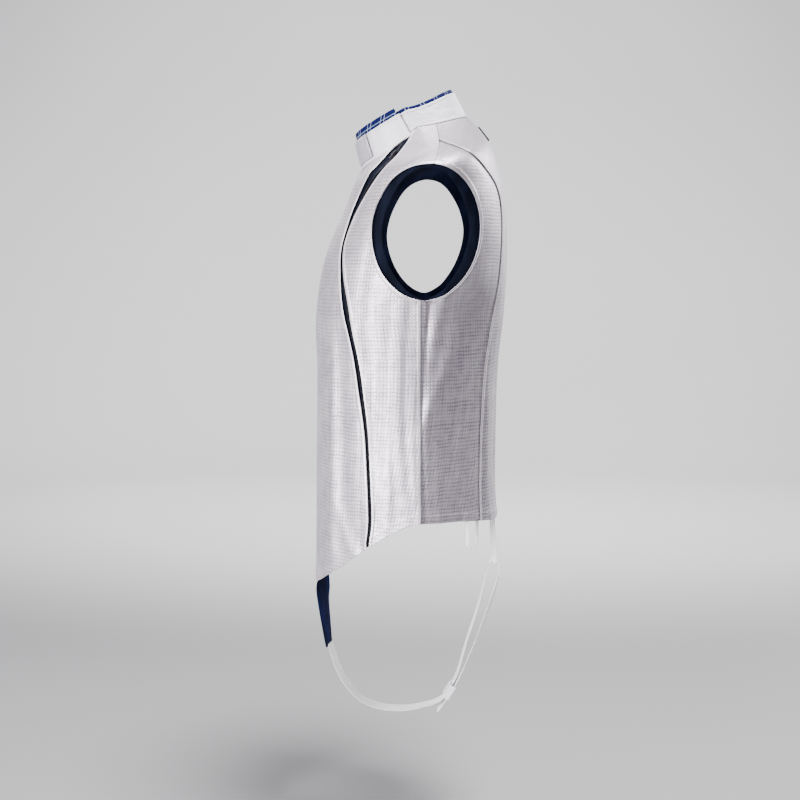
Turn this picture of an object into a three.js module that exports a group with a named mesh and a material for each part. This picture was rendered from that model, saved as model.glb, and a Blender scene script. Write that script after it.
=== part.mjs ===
// Fencing lame: a sleeveless vest of metal-threaded cloth, worn over the jacket.
// Millimetres, +Z up. The wearer faces -Y and the wearer's left is +X, the zip side.
// Origin: midway between the shoulders at the height of the neck base, where the vest hangs on the wearer.
//
// The body surface is addressed by two numbers. "angle" runs round the body in degrees: 0 at the
// front, 90 at the wearer's left, 180 at the back. "level" counts the rows of BODY_ROWS upwards,
// 0 at the hem and 10 at the neck, with fractions between rows.

import * as THREE from 'three';

// A table as objects, one for each row, keyed by the names of its columns
function table(columns, rows) {
  return rows.map((row) => Object.fromEntries(columns.map((column, i) => [column, row[i]])));
}

// Cloth walls, as offsets along the outward normal of the body surface
const SHELL = { outer: 0, inner: -1.2 };
const LINING = { outer: -4.9, inner: -5.9 };
const ZIP_COIL = { outer: -1.7, inner: -2.7 };
const ZIP_TAPE = { outer: -3.1, inner: -4.1 };
const SEAM_GAP = 0.6;
const SHOULDER_GAP = 0.8;

// Body sections: the y and z of the front and back centre lines, and the x, y, z of the side line.
// "square" is the power of the superellipse: 2 is an ellipse, more is boxier. "frontBend" and
// "backBend" are the powers by which a row's height bends from the side line to the centre lines.
const BODY_ROWS = table(
  ['row', 'frontY', 'frontZ', 'sideX', 'sideY', 'sideZ', 'backY', 'backZ', 'square', 'frontBend', 'backBend'],
  [
    ['hem', -152, -658, 166, -4, -551, 112, -564, 2.25, 1.4, 5],
    ['hip', -151, -570, 163, -11, -492, 109, -508, 2.25, 1.4, 3],
    ['waist', -149, -455, 158, -16, -410, 110, -425, 2.25, 1.5, 2],
    ['rib', -148, -355, 161, -14, -330, 113, -345, 2.25, 1.5, 1.5],
    ['chest', -150, -278, 168, -10, -262, 121, -270, 2.25, 1.5, 1.5],
    ['armpit', -141, -208, 174, -4, -205, 125, -200, 2.2, 1.5, 1.5],
    ['mid_arm', -125, -160, 182, 4, -150, 124, -140, 2.15, 1.5, 1.5],
    ['upper', -107, -120, 188, 11, -100, 117, -85, 2.1, 1.5, 1.5],
    ['tip', -93, -84, 186, 16, -64, 103, -38, 2.1, 1.4, 1.5],
    ['slope', -87, -72, 125, 10, -36, 86, -10, 2.05, 1.15, 1.5],
    ['neck', -82, -62, 67, -3, -9, 67, 9, 2, 0.9, 1.5],
  ],
);
const NECK_LEVEL = BODY_ROWS.length - 1;

// Broad folds, the same on both sides: where each starts and ends, half its width, and its depth
const FOLDS = table(
  ['fold', 'angleTop', 'levelTop', 'angleBottom', 'levelBottom', 'halfWidth', 'depth'],
  [
    ['valley behind the side seam', 104, 3.7, 101, -0.4, 9, -5],
    ['hollow of the back side', 128, 3.9, 123, -0.4, 17, -11],
    ['ridge down the front', 24, 4, 30, 0.2, 10, 2.5],
    ['hollow beside the zip', 45, 3.4, 52, 0.4, 7, -2],
    ['drape under the back yoke', 166, 6, 164, 1.5, 7, -2],
  ],
);
const FOLD_END_FADE = 0.5;

// The zip runs from the hem to the neck, here by its places in the side view. "gap" is how far the
// edges of the two front panels stand apart over it.
const ZIP_LINE = table(['y', 'z', 'gap'], [
  [-71, -579, 3],
  [-68, -548, 3],
  [-70, -493, 3],
  [-74, -425, 4],
  [-82, -364, 5],
  [-93, -302, 5],
  [-102, -255, 3.4],
  [-107, -210, 2.2],
  [-106, -175, 2.4],
  [-99.5, -152, 3],
  [-88.5, -124, 7],
  [-74.5, -97, 10],
  [-57, -71, 11],
  [-33, -42, 9],
  [-20, -21, 8],
  [-8, 4, 7],
]);
// The side seam stands at one y in the side view, from the hem to the armpit row
const SIDE_SEAM_Y = 1;
const SIDE_SEAM_ROWS = 6;
// The curved back seam, from the hem to the middle of the shoulder
const BACK_SEAM = table(['level', 'angle'], [
  [0, 140],
  [1.5, 143],
  [3.6, 146],
  [5.2, 152],
  [6.4, 155],
  [6.9, 151],
  [7.4, 140],
  [8.3, 121],
  [9.1, 103],
]);
const BACK_SEAM_TOP = 9.1;
const SHOULDER_NECK_ANGLE = 112;

// Armholes: ovals in the side view, whose back halves rise by "lean". The lining leaves a narrower,
// more pointed opening.
const ARMHOLE = { y: 8, z: -157, halfY: 73, halfZ: 90, power: 2, lean: 0.1 };
const LINING_ARMHOLE = { y: 8, z: -157, halfY: 62, halfZ: 89, power: 1.75, lean: 0.1 };
const SHOULDER_TIP_Y = 17;

// Grid of each panel: rows up to the armpit, rows along the armhole, columns along each stretch of the top
const ROWS_BELOW = 10;
const ROWS_ARMHOLE = 12;
const ROW_COUNT = ROWS_BELOW + ROWS_ARMHOLE;
const COLUMNS = { outerShoulder: 4, innerShoulder: 2, leftNeck: 2, frontNeck: 8, backNeck: 6 };
const ZIP_LEVEL_AT_ARMPIT = 3.5;
const BACK_LEVEL_AT_ARMPIT = 3.8;
const TOP_FADE = 3;

// The lining stops short of the hem
const LINING_HEM_LEVEL = 0.2;
// Edges along the zip: a share of half the gap between the panels, and a margin along the cloth from there
const ZIP_STRIPS = {
  panels: { gapShare: 1, margin: 0 },
  tape: { gapShare: 1, margin: 9 },
  coil: { gapShare: 0.2, margin: 2 },
  lining: { gapShare: 1, margin: 12 },
};
const ZIP_ENDS = { bottom: 0.06, top: 9.9 };

// Collar: the ring of its top edge above the neck row
const COLLAR_TOP = {
  frontY: -94, frontZ: -16, sideX: 63, sideY: -24, sideZ: 22, backY: 46, backZ: 49,
  frontBend: 1.1, backBend: 1.5,
};
// The band starts at the zip, runs round the back and the front, and its end laps over its start.
// Heights on the collar are shares: 0 at the neck seam and 1 at the top ring.
const COLLAR_BAND = { start: 74, end: 442, foot: 0.035, wall: 1.6, columns: 28, rows: 2 };
const COLLAR_LAP = { start: 345, full: 408, lift: 4.4 };
// The band's cloth stops below the top of its lining, further at the front than at the back
const COLLAR_PROUD = { back: 0.13, front: 0.24, changeStart: 250, changeEnd: 320 };
// Under the lap, the start of the collar stands lower
const COLLAR_DROP = { share: 0.13, end: 150 };
const COLLAR_LINING = { start: 76, end: 440, foot: 0.16, head: 1, gap: 0.5, wall: 1 };
const COLLAR_TAB = { start: 333, end: 402, foot: 0.05, head: 0.76, gap: 0.5, wall: 1.6, columns: 6 };

// Clip tab at the back of the neck, where the body wire is clipped
const CLIP_TAB = { topLevel: 9.2, topLift: 1.4, bottomLevel: 8.4, bottomLift: 2.2, width: 20, wall: 1.6 };

// Tab under the front point. "turn" swings its near edge forward about the vertical.
const CROTCH_TAB_WALL = 2;
const CROTCH_TAB = table(['y', 'z', 'width', 'turn'], [
  [-141, -646, 42, 8],
  [-142.5, -669, 42, 24],
  [-142, -696, 39, 20],
  [-137.5, -735, 33, 17],
  [-134, -762, 29, 13],
]);

// Elastic strap from the tab, under the legs, through the slider, round the hem loop and back.
// "roll" tips its near edge to the outside of the big loop.
const STRAP = { width: 25, wall: 1.2, stepsPerSpan: 3 };
const STRAP_ROUTE = table(['y', 'z', 'roll'], [
  [-131.6, -757, 14],
  [-129.4, -768, 14],
  [-121, -794, 13],
  [-108, -818, 11],
  [-87, -841, 9],
  [-59, -853.5, 7],
  [-30, -856.5, 5],
  [-10, -855, 3],
  [5, -851.5, 2],
  [20, -847.5, 1],
  [30, -842.5, 0],
  [36.4, -837.2, 0],
  [42.1, -827.9, 0],
  [47.8, -818.6, 0],
  [54, -806, 1],
  [60, -788, 1],
  [65, -769, 1],
  [72, -745, 1],
  [82, -714, 1],
  [91, -680, 1],
  [97, -655, 0],
  [100.7, -644, 0],
  [103.4, -636, 0],
  [109, -631.5, 0],
  [114.4, -636, 0],
  [116.2, -645, 2],
  [114.8, -660, 9],
  [110, -679, 14],
  [103, -701, 16],
  [94.5, -725, 16],
  [84.5, -752, 14],
  [73.5, -777, 10],
  [62, -802, 4],
  [51.6, -820.7, 0],
  [45.9, -830.1, 0],
  [40.2, -839.5, 0],
  [33.5, -850, 0],
  [26, -860, 0],
]);
// Ladder slider on the strap: a block with two slots, "pitch" apart
const STRAP_SLIDER = { y: 44, z: -829, roll: 0, length: 22, width: 31, height: 9.4 };
const STRAP_SLOT = { width: 27, height: 2.6, pitch: 4.4 };

// Tape loops under the hem: half the distance between the legs, and how far they reach above and below
// the hem. "inset" keeps the legs clear of the hem's curve, "lean" swings the foot of the loop outwards,
// and "corner" rounds it.
const LOOP_WALL = 1.2;
const LOOP_CORNER_STEPS = 3;
const HEM_LOOPS = table(
  ['name', 'angle', 'half', 'tape', 'above', 'below', 'inset', 'lean', 'corner'],
  [
    ['hem_loop_center', 180, 14.5, 7, 4, 73, 1.8, 4.6, 3],
    ['hem_loop_left', 138, 13.5, 5, 4, 39, 5.2, 0, 12],
  ],
);

// Zip slider with its pull lying down the zip: half widths and places along the zip, drawn from above
const ZIP_SLIDER = { level: 9.3, lift: -0.6, wall: 2 };
const ZIP_SLIDER_BODY = { noseHalf: 2.2, half: 3, shoulder: 4, end: 10 };
const ZIP_PULL = { half: 1.8, start: 12, end: 25, curveSegments: 8 };

// Steps by which a direction is measured on a surface, and the rounds and stride limits of a search on it
const TURN_STEP = 0.2;
const LEVEL_STEP = 0.01;
const SEARCH = { rounds: 60, angleStride: 6, levelStride: 0.3 };

const SILVER = { color: 0xd3cdd6, roughness: 0.55, metalness: 0.35 };
const NAVY = { color: 0x0a1330, roughness: 0.8, metalness: 0 };
const ROYAL = { color: 0x1d4fb5, roughness: 0.7, metalness: 0 };
const WHITE = { color: 0xe6e4e8, roughness: 0.8, metalness: 0 };
const BLACK = { color: 0x14151a, roughness: 0.45, metalness: 0 };

const lerp = THREE.MathUtils.lerp;
const lameGroup = new THREE.Group();

function addPiece(name, geometry, look) {
  const piece = new THREE.Mesh(geometry, new THREE.MeshStandardMaterial(look));
  piece.name = name;
  lameGroup.add(piece);
}

// A value that goes through the rows of a table on a smooth curve, against one of its columns
function smoothColumn(rows, xKey, yKey) {
  const last = rows.length - 1;
  const slopeAt = (i) => {
    const low = rows[Math.max(i - 1, 0)];
    const high = rows[Math.min(i + 1, last)];
    return (high[yKey] - low[yKey]) / (high[xKey] - low[xKey]);
  };
  return (x) => {
    if (x <= rows[0][xKey]) return rows[0][yKey];
    if (x >= rows[last][xKey]) return rows[last][yKey];
    const i = rows.findIndex((row) => row[xKey] > x) - 1;
    const span = rows[i + 1][xKey] - rows[i][xKey];
    const s = (x - rows[i][xKey]) / span;
    const start = (1 + 2 * s) * (1 - s) ** 2 * rows[i][yKey] + s * (1 - s) ** 2 * span * slopeAt(i);
    const end = s * s * (3 - 2 * s) * rows[i + 1][yKey] + s * s * (s - 1) * span * slopeAt(i + 1);
    return start + end;
  };
}

// The section at any level, by a Catmull-Rom curve through the rows
function sectionAt(level) {
  const i = THREE.MathUtils.clamp(Math.floor(level), 0, NECK_LEVEL - 1);
  const s = level - i;
  const before = BODY_ROWS[Math.max(i - 1, 0)];
  const low = BODY_ROWS[i];
  const high = BODY_ROWS[i + 1];
  const after = BODY_ROWS[Math.min(i + 2, NECK_LEVEL)];
  const section = {};
  for (const key of Object.keys(low)) {
    if (key === 'row') continue;
    const slope = (high[key] - before[key]) / 2;
    const nextSlope = (after[key] - low[key]) / 2;
    const rise = high[key] - low[key];
    const square = 3 * rise - 2 * slope - nextSlope;
    const cube = slope + nextSlope - 2 * rise;
    section[key] = low[key] + slope * s + square * s ** 2 + cube * s ** 3;
  }
  return section;
}

// A point of a ring: a superellipse whose front and back halves reach their own centre lines
function ringPoint(section, angle, square) {
  const turn = THREE.MathUtils.degToRad(angle);
  const sine = Math.sin(turn);
  const cosine = Math.cos(turn);
  const reach = (Math.abs(sine) ** square + Math.abs(cosine) ** square) ** (-1 / square);
  const along = Math.abs(reach * cosine);
  const end = cosine > 0
    ? { y: section.frontY, z: section.frontZ, bend: section.frontBend }
    : { y: section.backY, z: section.backZ, bend: section.backBend };
  return new THREE.Vector3(
    section.sideX * reach * sine,
    lerp(section.sideY, end.y, along),
    lerp(section.sideZ, end.z, along ** end.bend),
  );
}

function bodyPoint(angle, level) {
  const section = sectionAt(level);
  return ringPoint(section, angle, section.square);
}

// Outward normal of a surface given as a function of the angle and of a height on it
function normalOf(surface, angle, height) {
  const round = surface(angle + TURN_STEP, height).sub(surface(angle - TURN_STEP, height));
  const up = surface(angle, height + LEVEL_STEP).sub(surface(angle, height - LEVEL_STEP));
  return round.cross(up).normalize();
}

function foldDepth(angle, level) {
  const turned = Math.abs(((angle + 180) % 360 + 360) % 360 - 180);
  let depth = 0;
  for (const fold of FOLDS) {
    const share = (level - fold.levelBottom) / (fold.levelTop - fold.levelBottom);
    const middle = lerp(fold.angleBottom, fold.angleTop, THREE.MathUtils.clamp(share, 0, 1));
    const past = Math.max(level - fold.levelTop, fold.levelBottom - level, 0) / FOLD_END_FADE;
    depth += fold.depth * Math.exp(-(((turned - middle) / fold.halfWidth) ** 2) - past ** 2);
  }
  return depth;
}

function clothPoint(place, offset) {
  const normal = normalOf(bodyPoint, place.angle, place.level);
  const lift = offset + foldDepth(place.angle, place.level);
  return bodyPoint(place.angle, place.level).addScaledVector(normal, lift);
}

// The place on the left half that shows at y, z in the side view, by Newton's method
function placeFromSide(y, z) {
  let angle = 90;
  let level = BODY_ROWS.filter((row) => row.sideZ <= z).length - 0.5;
  for (let round = 0; round < SEARCH.rounds; round += 1) {
    const point = bodyPoint(angle, level);
    const byAngle = bodyPoint(angle + TURN_STEP, level).sub(point).divideScalar(TURN_STEP);
    const byLevel = bodyPoint(angle, level + LEVEL_STEP).sub(point).divideScalar(LEVEL_STEP);
    const size = byAngle.y * byLevel.z - byAngle.z * byLevel.y;
    const missY = y - point.y;
    const missZ = z - point.z;
    const turn = (missY * byLevel.z - missZ * byLevel.y) / size;
    const rise = (byAngle.y * missZ - byAngle.z * missY) / size;
    angle += THREE.MathUtils.clamp(turn, -SEARCH.angleStride, SEARCH.angleStride);
    level += THREE.MathUtils.clamp(rise, -SEARCH.levelStride, SEARCH.levelStride);
  }
  return { angle, level };
}

// A place moved round the body by a distance in millimetres
function movedRound(place, distance) {
  const ahead = bodyPoint(place.angle + TURN_STEP, place.level);
  const perDegree = ahead.distanceTo(bodyPoint(place.angle, place.level)) / TURN_STEP;
  return { angle: place.angle + distance / perDegree, level: place.level };
}

const mirrored = (place) => ({ angle: -place.angle, level: place.level });

function between(a, b, share) {
  return { angle: lerp(a.angle, b.angle, share), level: lerp(a.level, b.level, share) };
}

// Seams as angle against level
const backSeamAngle = smoothColumn(BACK_SEAM, 'level', 'angle');
const sideSeamRows = BODY_ROWS.slice(0, SIDE_SEAM_ROWS).map((row) => placeFromSide(SIDE_SEAM_Y, row.sideZ));
const sideSeamAngle = smoothColumn(sideSeamRows, 'level', 'angle');

// A line beside the zip up to the neckline, as angle against level. "side" is -1 for the front panel's
// side, 1 for the left panel's and 0 for the middle. A strip's edge lies at a share of half the gap,
// 1 being the panel's edge, and at a margin along the cloth from there.
function besideZip(side, strip) {
  const last = ZIP_LINE.length - 1;
  const line = ZIP_LINE.map((row, i) => {
    const ahead = ZIP_LINE[Math.min(i + 1, last)];
    const behind = ZIP_LINE[Math.max(i - 1, 0)];
    const along = new THREE.Vector2(ahead.y - behind.y, ahead.z - behind.z).normalize();
    const middle = placeFromSide(row.y, row.z);
    const level = THREE.MathUtils.clamp(middle.level, 0, NECK_LEVEL);
    const facing = normalOf(bodyPoint, middle.angle, level).x;
    const shift = side * (strip.gapShare * row.gap / 2 + strip.margin * facing);
    return placeFromSide(row.y + along.y * shift, row.z - along.x * shift);
  });
  const isTop = (place, i) => i === last || place.level >= NECK_LEVEL || line[i + 1].level <= place.level;
  return smoothColumn(line.slice(0, line.findIndex(isTop) + 1), 'level', 'angle');
}

function armholePlace(hole, turn) {
  const reach = 2 / hole.power;
  const sine = Math.sin(turn);
  const cosine = Math.cos(turn);
  const y = hole.y - hole.halfY * Math.sign(sine) * Math.abs(sine) ** reach;
  const z = hole.z - hole.halfZ * Math.sign(cosine) * Math.abs(cosine) ** reach;
  return placeFromSide(y, z + hole.lean * Math.max(y - hole.y, 0));
}

// The armhole is walked from the armpit, at the side seam, to the shoulder tip
function armholeEnds(hole) {
  const reach = hole.power / 2;
  const armpit = ((hole.y - SIDE_SEAM_Y) / hole.halfY) ** reach;
  const tip = ((SHOULDER_TIP_Y - hole.y) / hole.halfY) ** reach;
  return { armpitTurn: Math.asin(armpit), tipTurn: Math.PI + Math.asin(tip) };
}

const shoulderTip = armholePlace(ARMHOLE, armholeEnds(ARMHOLE).tipTurn);
const shoulderNeck = { angle: SHOULDER_NECK_ANGLE, level: NECK_LEVEL };
const backSeamShare = (BACK_SEAM_TOP - shoulderTip.level) / (NECK_LEVEL - shoulderTip.level);

// The level of row k on a seam that runs from the hem through the armpit row to its top
function rowLevel(k, start, atArmpit, top) {
  if (k <= ROWS_BELOW) return lerp(start, atArmpit, k / ROWS_BELOW);
  return lerp(atArmpit, top, (k - ROWS_BELOW) / ROWS_ARMHOLE);
}

const eachRow = (make) => Array.from({ length: ROW_COUNT + 1 }, (unused, k) => make(k));

function zipEdge(start, top, side, strip) {
  const angleAt = besideZip(side, strip);
  return eachRow((k) => {
    const level = rowLevel(k, start, ZIP_LEVEL_AT_ARMPIT, top);
    return { angle: angleAt(level), level };
  });
}

const backSeamEdge = (start, shift) => eachRow((k) => {
  const level = rowLevel(k, start, BACK_LEVEL_AT_ARMPIT, BACK_SEAM_TOP);
  return movedRound({ angle: backSeamAngle(level), level }, shift);
});

// Side seam and armhole edge of a front half (direction 1) or a back half (direction -1)
function sideEdge(start, hole, direction) {
  const { armpitTurn, tipTurn } = armholeEnds(hole);
  const armpitLevel = armholePlace(hole, armpitTurn).level;
  const endTurn = direction > 0 ? tipTurn : tipTurn - 2 * Math.PI;
  return eachRow((k) => {
    if (k <= ROWS_BELOW) {
      const level = lerp(start, armpitLevel, k / ROWS_BELOW);
      return movedRound({ angle: sideSeamAngle(level), level }, -direction * SEAM_GAP / 2);
    }
    if (k === ROW_COUNT) return movedRound(armholePlace(hole, tipTurn), -direction * SHOULDER_GAP / 2);
    return armholePlace(hole, lerp(armpitTurn, endTurn, (k - ROWS_BELOW) / ROWS_ARMHOLE));
  });
}

// Evenly spaced places from a to b, without b
function steps(a, b, count) {
  return Array.from({ length: count }, (unused, i) => between(a, b, i / count));
}

// A stretch of the shoulder line, which runs from the tip to the neck, and the whole line of a front half
function shoulderStretch(tip, from, to, count) {
  return steps(between(tip, shoulderNeck, from), between(tip, shoulderNeck, to), count);
}

function frontShoulder(tip) {
  const forward = (place) => movedRound(place, -SHOULDER_GAP / 2);
  return [
    ...shoulderStretch(tip, 0, backSeamShare, COLUMNS.outerShoulder),
    ...shoulderStretch(tip, backSeamShare, 1, COLUMNS.innerShoulder).map(forward),
    forward(shoulderNeck),
  ];
}

// A four-sided patch between its edges. The bows of the bottom and top edges fade into it.
function patch(left, right, bottom, top) {
  const last = bottom.length - 1;
  const bow = (edge, i) => {
    const straight = between(edge[0], edge[last], i / last);
    return { angle: edge[i].angle - straight.angle, level: edge[i].level - straight.level };
  };
  return bottom.map((unused, i) => eachRow((k) => {
    const rise = k / ROW_COUNT;
    const place = between(left[k], right[k], i / last);
    const low = bow(bottom, i);
    const high = bow(top, i);
    const lowShare = (1 - rise) ** TOP_FADE;
    const highShare = rise ** TOP_FADE;
    return {
      angle: place.angle + low.angle * lowShare + high.angle * highShare,
      level: place.level + low.level * lowShare + high.level * highShare,
    };
  }));
}

function straightBottom(left, right, columns) {
  return [...steps(left[0], right[0], columns), right[0]];
}

// Patches of the left half. A start level above 0 and a hole make the lining's version of each.
function leftFrontPatch(start, hole, strip) {
  const left = zipEdge(start, NECK_LEVEL, 1, strip);
  const right = sideEdge(start, hole, 1);
  const shoulder = frontShoulder(right[ROW_COUNT]).reverse();
  const top = [...steps(left[ROW_COUNT], shoulder[0], COLUMNS.leftNeck), ...shoulder];
  return patch(left, right, straightBottom(left, right, top.length - 1), top);
}

// The front panel reaches from the right side round to the zip
function frontPatch(start, hole, strip) {
  const left = sideEdge(start, hole, 1).map(mirrored);
  const right = zipEdge(start, NECK_LEVEL, -1, strip);
  const shoulder = frontShoulder(mirrored(left[ROW_COUNT])).map(mirrored);
  const neck = shoulder.pop();
  const top = [...shoulder, ...steps(neck, right[ROW_COUNT], COLUMNS.frontNeck), right[ROW_COUNT]];
  return patch(left, right, straightBottom(left, right, top.length - 1), top);
}

function backSidePatch(start, hole, seamShift) {
  const left = sideEdge(start, hole, -1);
  const right = backSeamEdge(start, seamShift);
  const shoulder = shoulderStretch(left[ROW_COUNT], 0, backSeamShare, COLUMNS.outerShoulder);
  const top = [...shoulder, right[ROW_COUNT]];
  return patch(left, right, straightBottom(left, right, top.length - 1), top);
}

function backCenterPatch(start, seamShift) {
  const left = backSeamEdge(start, seamShift);
  const opposite = (place) => ({ angle: 360 - place.angle, level: place.level });
  const right = left.map(opposite);
  const neck = movedRound(shoulderNeck, SHOULDER_GAP / 2);
  const shoulder = steps(left[ROW_COUNT], neck, COLUMNS.innerShoulder);
  const neckline = steps(neck, opposite(neck), COLUMNS.backNeck);
  const top = [...shoulder, ...neckline, opposite(neck), ...shoulder.map(opposite).reverse()];
  return patch(left, right, straightBottom(left, right, top.length - 1), top);
}

// The other side of a left patch, with its columns turned round so that its faces still point out
const otherSide = (columns) => columns.map((column) => column.map(mirrored)).reverse();

// A closed wall between two grids of points, given as columns of rows
function wallSolid(outer, inner) {
  const rows = outer[0].length;
  const columns = outer.length;
  const count = columns * rows;
  const points = [...outer.flat(), ...inner.flat()];
  const at = (i, j) => i * rows + j;
  const index = [];
  const rim = [];
  for (let i = 0; i + 1 < columns; i += 1) {
    for (let j = 0; j + 1 < rows; j += 1) {
      const [a, b, c, d] = [at(i, j), at(i + 1, j), at(i + 1, j + 1), at(i, j + 1)];
      index.push(a, b, c, a, c, d);
      index.push(count + a, count + c, count + b, count + a, count + d, count + c);
    }
    rim.push([at(i, 0), at(i + 1, 0)], [at(i + 1, rows - 1), at(i, rows - 1)]);
  }
  for (let j = 0; j + 1 < rows; j += 1) {
    rim.push([at(columns - 1, j), at(columns - 1, j + 1)], [at(0, j + 1), at(0, j)]);
  }
  for (const [a, b] of rim) {
    index.push(b, a, count + a, b, count + a, count + b);
  }
  const geometry = new THREE.BufferGeometry();
  geometry.setFromPoints(points);
  geometry.setIndex(index);
  geometry.computeVertexNormals();
  return geometry;
}

function clothSolid(columns, wall) {
  const layer = (offset) => columns.map((column) => column.map((place) => clothPoint(place, offset)));
  return wallSolid(layer(wall.outer), layer(wall.inner));
}

// A flat band along stations that each have a centre, a width direction and a width
function bandSolid(stations, wall) {
  const last = stations.length - 1;
  const layer = (side) => [-0.5, 0.5].map((edge) => stations.map((station, i) => {
    const ahead = stations[Math.min(i + 1, last)].centre;
    const behind = stations[Math.max(i - 1, 0)].centre;
    const along = ahead.clone().sub(behind);
    const normal = station.across.clone().cross(along).normalize();
    return station.centre.clone()
      .addScaledVector(station.across, edge * station.width)
      .addScaledVector(normal, side * wall / 2);
  }));
  return wallSolid(layer(1), layer(-1));
}

// Outer cloth
function buildShell() {
  const left = leftFrontPatch(0, ARMHOLE, ZIP_STRIPS.panels);
  const front = frontPatch(0, ARMHOLE, ZIP_STRIPS.panels);
  const backSide = backSidePatch(0, ARMHOLE, -SEAM_GAP / 2);
  addPiece('front_panel', clothSolid(front, SHELL), SILVER);
  addPiece('left_front_panel', clothSolid(left, SHELL), SILVER);
  addPiece('back_side_left', clothSolid(backSide, SHELL), SILVER);
  addPiece('back_side_right', clothSolid(otherSide(backSide), SHELL), SILVER);
  addPiece('back_center', clothSolid(backCenterPatch(0, SEAM_GAP / 2), SHELL), SILVER);
}

// Lining, which shows inside the armholes
function buildLining() {
  const start = LINING_HEM_LEVEL;
  const left = leftFrontPatch(start, LINING_ARMHOLE, ZIP_STRIPS.lining);
  const front = frontPatch(start, LINING_ARMHOLE, ZIP_STRIPS.lining);
  const backSide = backSidePatch(start, LINING_ARMHOLE, -SEAM_GAP / 2);
  addPiece('lining_front', clothSolid(front, LINING), NAVY);
  addPiece('lining_left_front', clothSolid(left, LINING), NAVY);
  addPiece('lining_back_left', clothSolid(backSide, LINING), NAVY);
  addPiece('lining_back_right', clothSolid(otherSide(backSide), LINING), NAVY);
  addPiece('lining_back', clothSolid(backCenterPatch(start, SEAM_GAP / 2), LINING), NAVY);
}

function zipStrip(strip, wall) {
  const columns = [-1, 0, 1].map((side) => zipEdge(ZIP_ENDS.bottom, ZIP_ENDS.top, side, strip));
  return clothSolid(columns, wall);
}

function zipSliderShape() {
  const body = ZIP_SLIDER_BODY;
  const pull = ZIP_PULL;
  const shape = new THREE.Shape();
  shape.moveTo(-body.noseHalf, 0);
  shape.lineTo(body.noseHalf, 0);
  shape.lineTo(body.half, body.shoulder);
  shape.lineTo(body.half, body.end);
  shape.lineTo(pull.half, pull.start);
  shape.lineTo(pull.half, pull.end);
  shape.absarc(0, pull.end, pull.half, 0, Math.PI, false);
  shape.lineTo(-pull.half, pull.start);
  shape.lineTo(-body.half, body.end);
  shape.lineTo(-body.half, body.shoulder);
  return shape;
}

function buildZip() {
  addPiece('zip_tape', zipStrip(ZIP_STRIPS.tape, ZIP_TAPE), NAVY);
  addPiece('zip_coil', zipStrip(ZIP_STRIPS.coil, ZIP_COIL), BLACK);
  const { level, lift, wall } = ZIP_SLIDER;
  const zipAngle = besideZip(0, ZIP_STRIPS.coil);
  const place = { angle: zipAngle(level), level };
  const lower = { angle: zipAngle(level - LEVEL_STEP), level: level - LEVEL_STEP };
  const normal = normalOf(bodyPoint, place.angle, level);
  const down = clothPoint(lower, 0).sub(clothPoint(place, 0)).projectOnPlane(normal).normalize();
  const across = down.clone().cross(normal);
  const options = { depth: wall, bevelEnabled: false, curveSegments: ZIP_PULL.curveSegments };
  const slider = new THREE.ExtrudeGeometry(zipSliderShape(), options);
  const seat = new THREE.Matrix4().makeBasis(across, down, normal).setPosition(clothPoint(place, lift));
  addPiece('zip_slider', slider.applyMatrix4(seat), BLACK);
}

// Collar surface: "share" runs from 0 at the neck seam to 1 at the top ring
function collarPoint(angle, share) {
  const low = bodyPoint(angle, NECK_LEVEL);
  return low.lerp(ringPoint(COLLAR_TOP, angle, 2), share);
}

function collarLift(angle) {
  return COLLAR_LAP.lift * THREE.MathUtils.smoothstep(angle, COLLAR_LAP.start, COLLAR_LAP.full);
}

function collarDrop(angle) {
  return COLLAR_DROP.share * (1 - THREE.MathUtils.smoothstep(angle, COLLAR_BAND.start, COLLAR_DROP.end));
}

function collarHead(angle) {
  const { back, front, changeStart, changeEnd } = COLLAR_PROUD;
  const proud = lerp(back, front, THREE.MathUtils.smoothstep(angle, changeStart, changeEnd));
  return 1 - proud - collarDrop(angle);
}

// A wall on the collar between two offsets, from its foot to its head
function collarSolid(stretch, head, outer, inner) {
  const columns = stretch.columns ?? COLLAR_BAND.columns;
  const { rows } = COLLAR_BAND;
  const layer = (offset) => Array.from({ length: columns + 1 }, (unused, i) => {
    const angle = lerp(stretch.start, stretch.end, i / columns);
    return Array.from({ length: rows + 1 }, (alsoUnused, j) => {
      const share = lerp(stretch.foot, head(angle), j / rows);
      const normal = normalOf(collarPoint, angle, share);
      return collarPoint(angle, share).addScaledVector(normal, collarLift(angle) + offset);
    });
  });
  return wallSolid(layer(outer), layer(inner));
}

function buildCollar() {
  const band = COLLAR_BAND;
  const lining = COLLAR_LINING;
  const tab = COLLAR_TAB;
  const liningFace = -band.wall - lining.gap;
  const liningHead = (angle) => lining.head - collarDrop(angle);
  const tabHead = () => tab.head;
  addPiece('collar_band', collarSolid(band, collarHead, 0, -band.wall), SILVER);
  addPiece('collar_lining', collarSolid(lining, liningHead, liningFace, liningFace - lining.wall), ROYAL);
  addPiece('collar_tab', collarSolid(tab, tabHead, tab.gap + tab.wall, tab.gap), SILVER);
}

function buildClipTab() {
  const across = new THREE.Vector3(1, 0, 0);
  const ends = [
    { level: CLIP_TAB.topLevel, lift: CLIP_TAB.topLift },
    { level: CLIP_TAB.bottomLevel, lift: CLIP_TAB.bottomLift },
  ];
  const stations = ends.map((end) => ({
    centre: clothPoint({ angle: 180, level: end.level }, end.lift),
    across,
    width: CLIP_TAB.width,
  }));
  addPiece('clip_tab', bandSolid(stations, CLIP_TAB.wall), NAVY);
}

function buildCrotchTab() {
  const stations = CROTCH_TAB.map((row) => {
    const turn = THREE.MathUtils.degToRad(row.turn);
    return {
      centre: new THREE.Vector3(0, row.y, row.z),
      across: new THREE.Vector3(Math.cos(turn), -Math.sin(turn), 0),
      width: row.width,
    };
  });
  addPiece('crotch_tab', bandSolid(stations, CROTCH_TAB_WALL), NAVY);
}

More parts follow.
